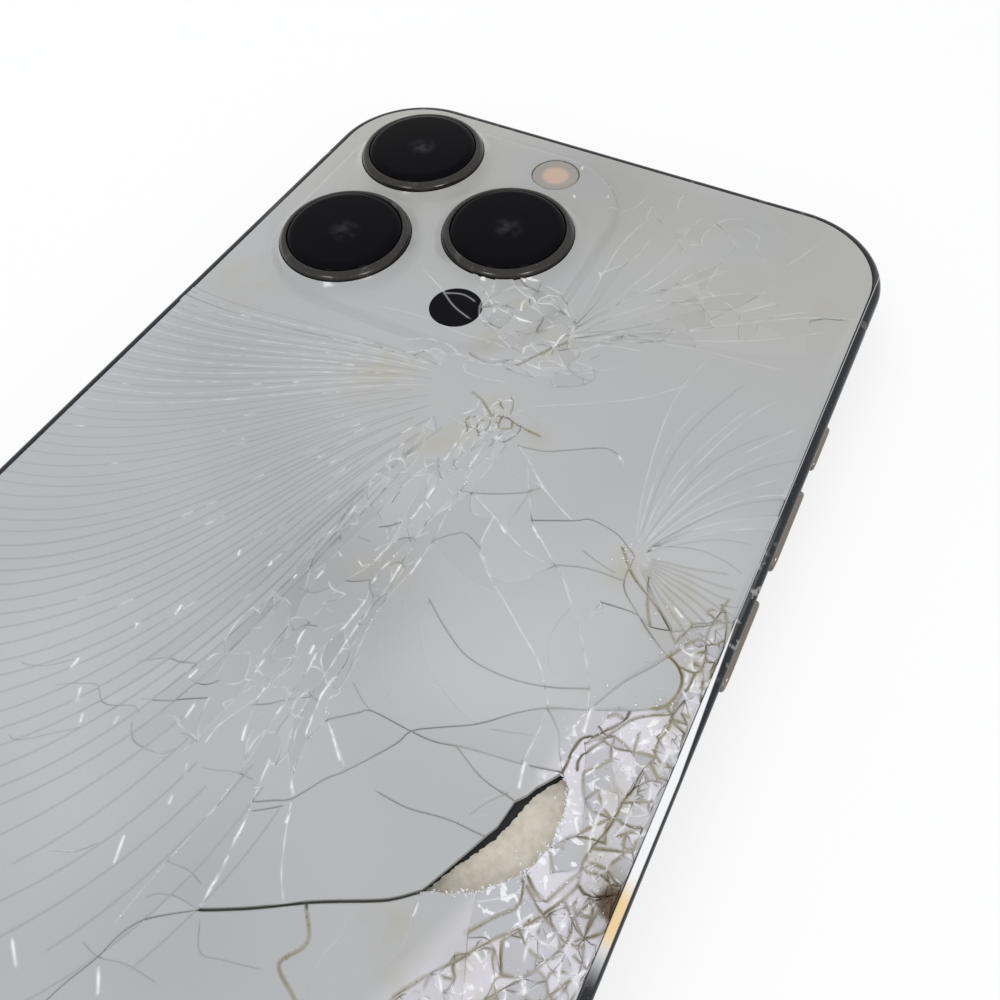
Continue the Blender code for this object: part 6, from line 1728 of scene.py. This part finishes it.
def scattered(name, places, sizes, shape, faces, chance, material):
    """Many copies of a small closed shape in one mesh, each scaled, turned by a random rotation and
    put in place: p' = R (s p) + c."""
    count = len(places)
    quaternion = chance.normal(size=(count, 4))
    quaternion /= np.linalg.norm(quaternion, axis=1)[:, None]
    w, x, y, z = quaternion.T
    turn = np.stack([
        1 - 2 * (y * y + z * z), 2 * (x * y - z * w), 2 * (x * z + y * w),
        2 * (x * y + z * w), 1 - 2 * (x * x + z * z), 2 * (y * z - x * w),
        2 * (x * z - y * w), 2 * (y * z + x * w), 1 - 2 * (x * x + y * y),
    ], -1).reshape(count, 3, 3)
    local = shape[None] * sizes[:, None, :]
    points = np.einsum("nij,nkj->nki", turn, local) + places[:, None, :]
    numbers = faces[None] + (np.arange(count) * len(shape))[:, None, None]
    mesh = fill_mesh(name, points.reshape(-1, 3), numbers.reshape(-1, faces.shape[1]))
    return piece(mesh, material, sharp=10.0)


CHIP = np.array([(-1, -0.6, -0.2), (1, -0.3, -0.2), (0.1, 0.8, -0.2),
                 (-0.8, -0.5, 0.2), (0.7, -0.35, 0.2), (0.15, 0.6, 0.25)], float)
CHIP_FACES = np.array([(0, 2, 1), (3, 4, 5), (0, 1, 4), (0, 4, 3), (1, 2, 5), (1, 5, 4), (2, 0, 3),
                       (2, 3, 5)])
GRAIN = np.array([(1, 0, 0), (-1, 0, 0), (0, 1, 0), (0, -1, 0), (0, 0, 1), (0, 0, -1)], float)
GRAIN_FACES = np.array([(0, 2, 4), (2, 1, 4), (1, 3, 4), (3, 0, 4), (2, 0, 5), (1, 2, 5), (3, 1, 5),
                        (0, 3, 5)])


def along_lines(lines, count, chance, wander):
    """Random spots along polylines, each moved sideways by up to the wander."""
    dense = np.concatenate([resampled(np.array(line, float), 0.1) for line in lines])
    picked = dense[chance.integers(0, len(dense), count)]
    return picked + chance.uniform(-wander, wander, picked.shape)


def slivers(material):
    """Loose glass splinters: in the crushed strip, round the hole, at both impacts, down the sheaf and
    at the plateau's chipped corner."""
    chance = np.random.default_rng(SEED + 2)
    crush_x = np.interp(chance.uniform(-18, 18, 330), [-18, -9, 0, 9, 18], [27, 30, 31, 33, 33.5])
    crush = np.column_stack([crush_x + chance.uniform(-1.2, 1.6, 330), chance.uniform(-18, 18, 330)])
    hole = along_lines([LOST_SHARD[:16]], 170, chance, 0.2)
    first = np.array(FIRST_IMPACT) + chance.normal(0, 1.2, (60, 2))
    second = np.array(SECOND_IMPACT) + chance.normal(0, 1.0, (40, 2))
    sheaf = along_lines(SHEAF[:7], 240, chance, 0.1)
    corner = np.array([2.2, 38.0]) + chance.normal(0, 1.8, (70, 2))
    spots = np.concatenate([crush, hole, first, second, sheaf, corner])
    spots = spots[on_pane(spots) & (spots[:, 0] < HALF_WIDTH - RIM - 0.3)]
    size = chance.uniform(0.05, 0.17, (len(spots), 1)) * np.array([1.0, 0.8, 0.5])
    z = glass_level(spots[:, 0], spots[:, 1]) - 0.02
    return scattered("glass_slivers", np.column_stack([spots, z]), size, CHIP, CHIP_FACES, chance,
                     material)


def grit(material):
    """Grains of dried earth in the dirty cracks and on the stained glass."""
    chance = np.random.default_rng(SEED + 3)
    spots = along_lines(DIRTY_CRACKS, 360, chance, 0.16)
    stain = np.array([31.8, 1.0]) + chance.normal(0, 1.0, (160, 2)) * np.array([1.1, 7.0])
    patch = np.array([33.8, -6.0]) + chance.normal(0, 0.5, (110, 2))
    impact = np.array([6.0, 29.0]) + chance.normal(0, 1.0, (90, 2)) * np.array([2.2, 0.6])
    spots = np.concatenate([spots, stain, patch, impact])
    spots = spots[on_pane(spots)]
    size = chance.uniform(0.02, 0.055, (len(spots), 1)) * chance.uniform(0.6, 1.2, (len(spots), 3))
    z = glass_level(spots[:, 0], spots[:, 1]) - 0.01
    return scattered("dried_earth", np.column_stack([spots, z]), size, GRAIN, GRAIN_FACES, chance,
                     material)


def studio():
    """A pale floor and white surroundings. Camera, glossy and transmission rays see plain white, and
    the floor is half lit so that it keeps the phone's shadow."""
    side = 1200.0
    corners = np.array([(-side, -side, 0.0), (side, -side, 0.0), (side, side, 0.0), (-side, side, 0.0)])
    floor_mesh = fill_mesh("floor", corners, np.array([(0, 1, 2, 3)]))
    floor = bpy.data.objects.new("floor", floor_mesh)
    bpy.context.scene.collection.objects.link(floor)
    material, tree, shader = finish("pale_floor", (0.96, 0.96, 0.96), 0.9)
    floor_mesh.materials.append(material)
    output = tree.nodes["Material Output"]
    path = put(tree, "ShaderNodeLightPath").outputs
    glow = put(tree, "ShaderNodeEmission", {"Color": (1.0, 1.0, 1.0, 1.0), "Strength": 1.0})
    share = maths(tree, "MULTIPLY", path["Is Camera Ray"], 0.78)
    mix = put(tree, "ShaderNodeMixShader",
              {0: share, 1: shader.outputs[0], 2: glow.outputs[0]})
    tree.links.new(mix.outputs[0], output.inputs["Surface"])
    world = bpy.data.worlds.new("studio")
    bpy.context.scene.world = world
    world.use_nodes = True
    tree = world.node_tree
    output = tree.nodes["World Output"]
    path = put(tree, "ShaderNodeLightPath").outputs
    seen = maths(tree, "MAXIMUM", path["Is Camera Ray"],
                 maths(tree, "MAXIMUM", path["Is Glossy Ray"], path["Is Transmission Ray"]))
    light = put(tree, "ShaderNodeBackground", {"Color": (0.97, 0.985, 1.0, 1.0), "Strength": 0.72})
    white = put(tree, "ShaderNodeBackground", {"Color": (1.0, 1.0, 1.0, 1.0), "Strength": 1.0})
    mix = put(tree, "ShaderNodeMixShader",
              {0: seen, 1: light.outputs[0], 2: white.outputs[0]})
    tree.links.new(mix.outputs[0], output.inputs["Surface"])


def softbox(name, direction, away, width, height, level, mirrored=True, target=(0.0, 0.02, 0.008)):
    """A rectangular lamp that looks at the phone. Its level is its brightness beside white, and its
    power is level times pi times its area. One that isn't mirrored never shows in polished pieces."""
    data = bpy.data.lights.new(name, "AREA")
    data.shape = "RECTANGLE"
    data.size, data.size_y = width, height
    data.energy = level * math.pi * width * height
    lamp = bpy.data.objects.new(name, data)
    lamp.visible_glossy = mirrored
    back = Vector(direction).normalized()
    right = Vector((0.0, 0.0, 1.0)).cross(back).normalized()
    turn = Matrix((right, back.cross(right), back)).transposed().to_4x4()
    lamp.matrix_world = Matrix.Translation(Vector(target) + back * away) @ turn
    bpy.context.scene.collection.objects.link(lamp)


LENS_MM = 28.8
AZIMUTH = 31.78
ELEVATION = 57.63
ROLL = -3.89
AIM = (11.08, 20.03)
CAMERA_AWAY = 75.53


def photograph_camera():
    """The camera at the photograph's viewing angle: its back axis from azimuth and elevation, then a
    roll about it."""
    azimuth, elevation, roll = (math.radians(v) for v in (AZIMUTH, ELEVATION, ROLL))
    back = Vector((math.sin(azimuth) * math.cos(elevation), -math.cos(azimuth) * math.cos(elevation),
                   math.sin(elevation)))
    right = Vector((0.0, 0.0, 1.0)).cross(back).normalized()
    up = back.cross(right)
    rolled_right = right * math.cos(roll) + up * math.sin(roll)
    rolled_up = up * math.cos(roll) - right * math.sin(roll)
    data = bpy.data.cameras.new("camera")
    data.lens = LENS_MM
    data.sensor_width = 36.0
    data.clip_start = 0.002
    camera = bpy.data.objects.new("camera", data)
    turn = Matrix((rolled_right, rolled_up, back)).transposed().to_4x4()
    place = (Vector((*AIM, BACK_LEVEL)) + back * CAMERA_AWAY) * MM
    camera.matrix_world = Matrix.Translation(place) @ turn
    bpy.context.scene.collection.objects.link(camera)
    bpy.context.scene.camera = camera


def dress_frame(groups):
    """A finish of its own for each CAD node that stays in sight."""
    dark = plain_finish(groups, "dark_plastic", (0.02, 0.02, 0.022), 0.45)
    steel = metal_finish(groups, "inner_steel", (0.34, 0.33, 0.32), 0.3, 0.2)
    looks = {
        "front_glass": display_finish(groups),
        "display_panel": dark,
        # The plate is near black, which shows in the gap beside the torn pad
        "back_plate": plain_finish(groups, "blackened_plate", (0.012, 0.012, 0.012), 0.6),
        "battery": plain_finish(groups, "battery_wrap", (0.03, 0.03, 0.034), 0.5),
        "logic_board": plain_finish(groups, "circuit_board", (0.01, 0.03, 0.05), 0.45),
        "board_shield": steel,
        "vibration_motor": steel,
        "charging_coil": metal_finish(groups, "copper_winding", (0.6, 0.28, 0.16), 0.35, 0.3),
        "magnet_ring": steel,
        "charging_port": steel,
        "case_screw_left": steel,
        "case_screw_right": steel,
        "flex_left": plain_finish(groups, "amber_flex", (0.35, 0.16, 0.04), 0.45),
    }
    looks["flex_right"] = looks["flex_left"]
    for name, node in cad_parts.items():
        if node.hide_render:
            continue
        node.data.materials.clear()
        node.data.materials.append(looks.get(name, dark))


def main():
    """Every piece with its finish, then the studio, the lamps and the camera."""
    groups = {"grime": grime_group(), "scuffs": scuff_group()}
    shattered_pane(glass_finish(groups), window_finish())
    band(band_finish(groups))
    antenna_lines(plain_finish(groups, "antenna_plastic", (0.05, 0.053, 0.058), 0.4, specks=0.5))
    cameras(metal_finish(groups, "ring_steel", (0.048, 0.046, 0.044), 0.18, 0.10), lens_finish())
    flash(flash_finish())
    torn_pad(pad_finish())
    buttons(metal_finish(groups, "button_steel", (0.20, 0.175, 0.155), 0.2, 0.3))
    # The splinters are real; their near white colour is a painted glint in place of clear glass
    sliver, _, _ = finish("splinter_glass", (0.86, 0.87, 0.88), 0.08)
    slivers(sliver)
    grit(plain_finish(groups, "dried_earth", (0.19, 0.155, 0.10), 0.9, specks=0.3))
    dress_frame(groups)
    studio()
    softbox("key", (-0.5, 0.35, 0.9), 0.45, 0.36, 0.30, 1.6, False)
    softbox("front_right", (0.75, -0.42, 0.42), 0.40, 0.09, 0.09, 9.0)
    softbox("front_left", (-0.1, -0.85, 0.5), 0.40, 0.08, 0.08, 9.0)
    photograph_camera()
    view = bpy.context.scene.view_settings
    view.view_transform = "Standard"


main()
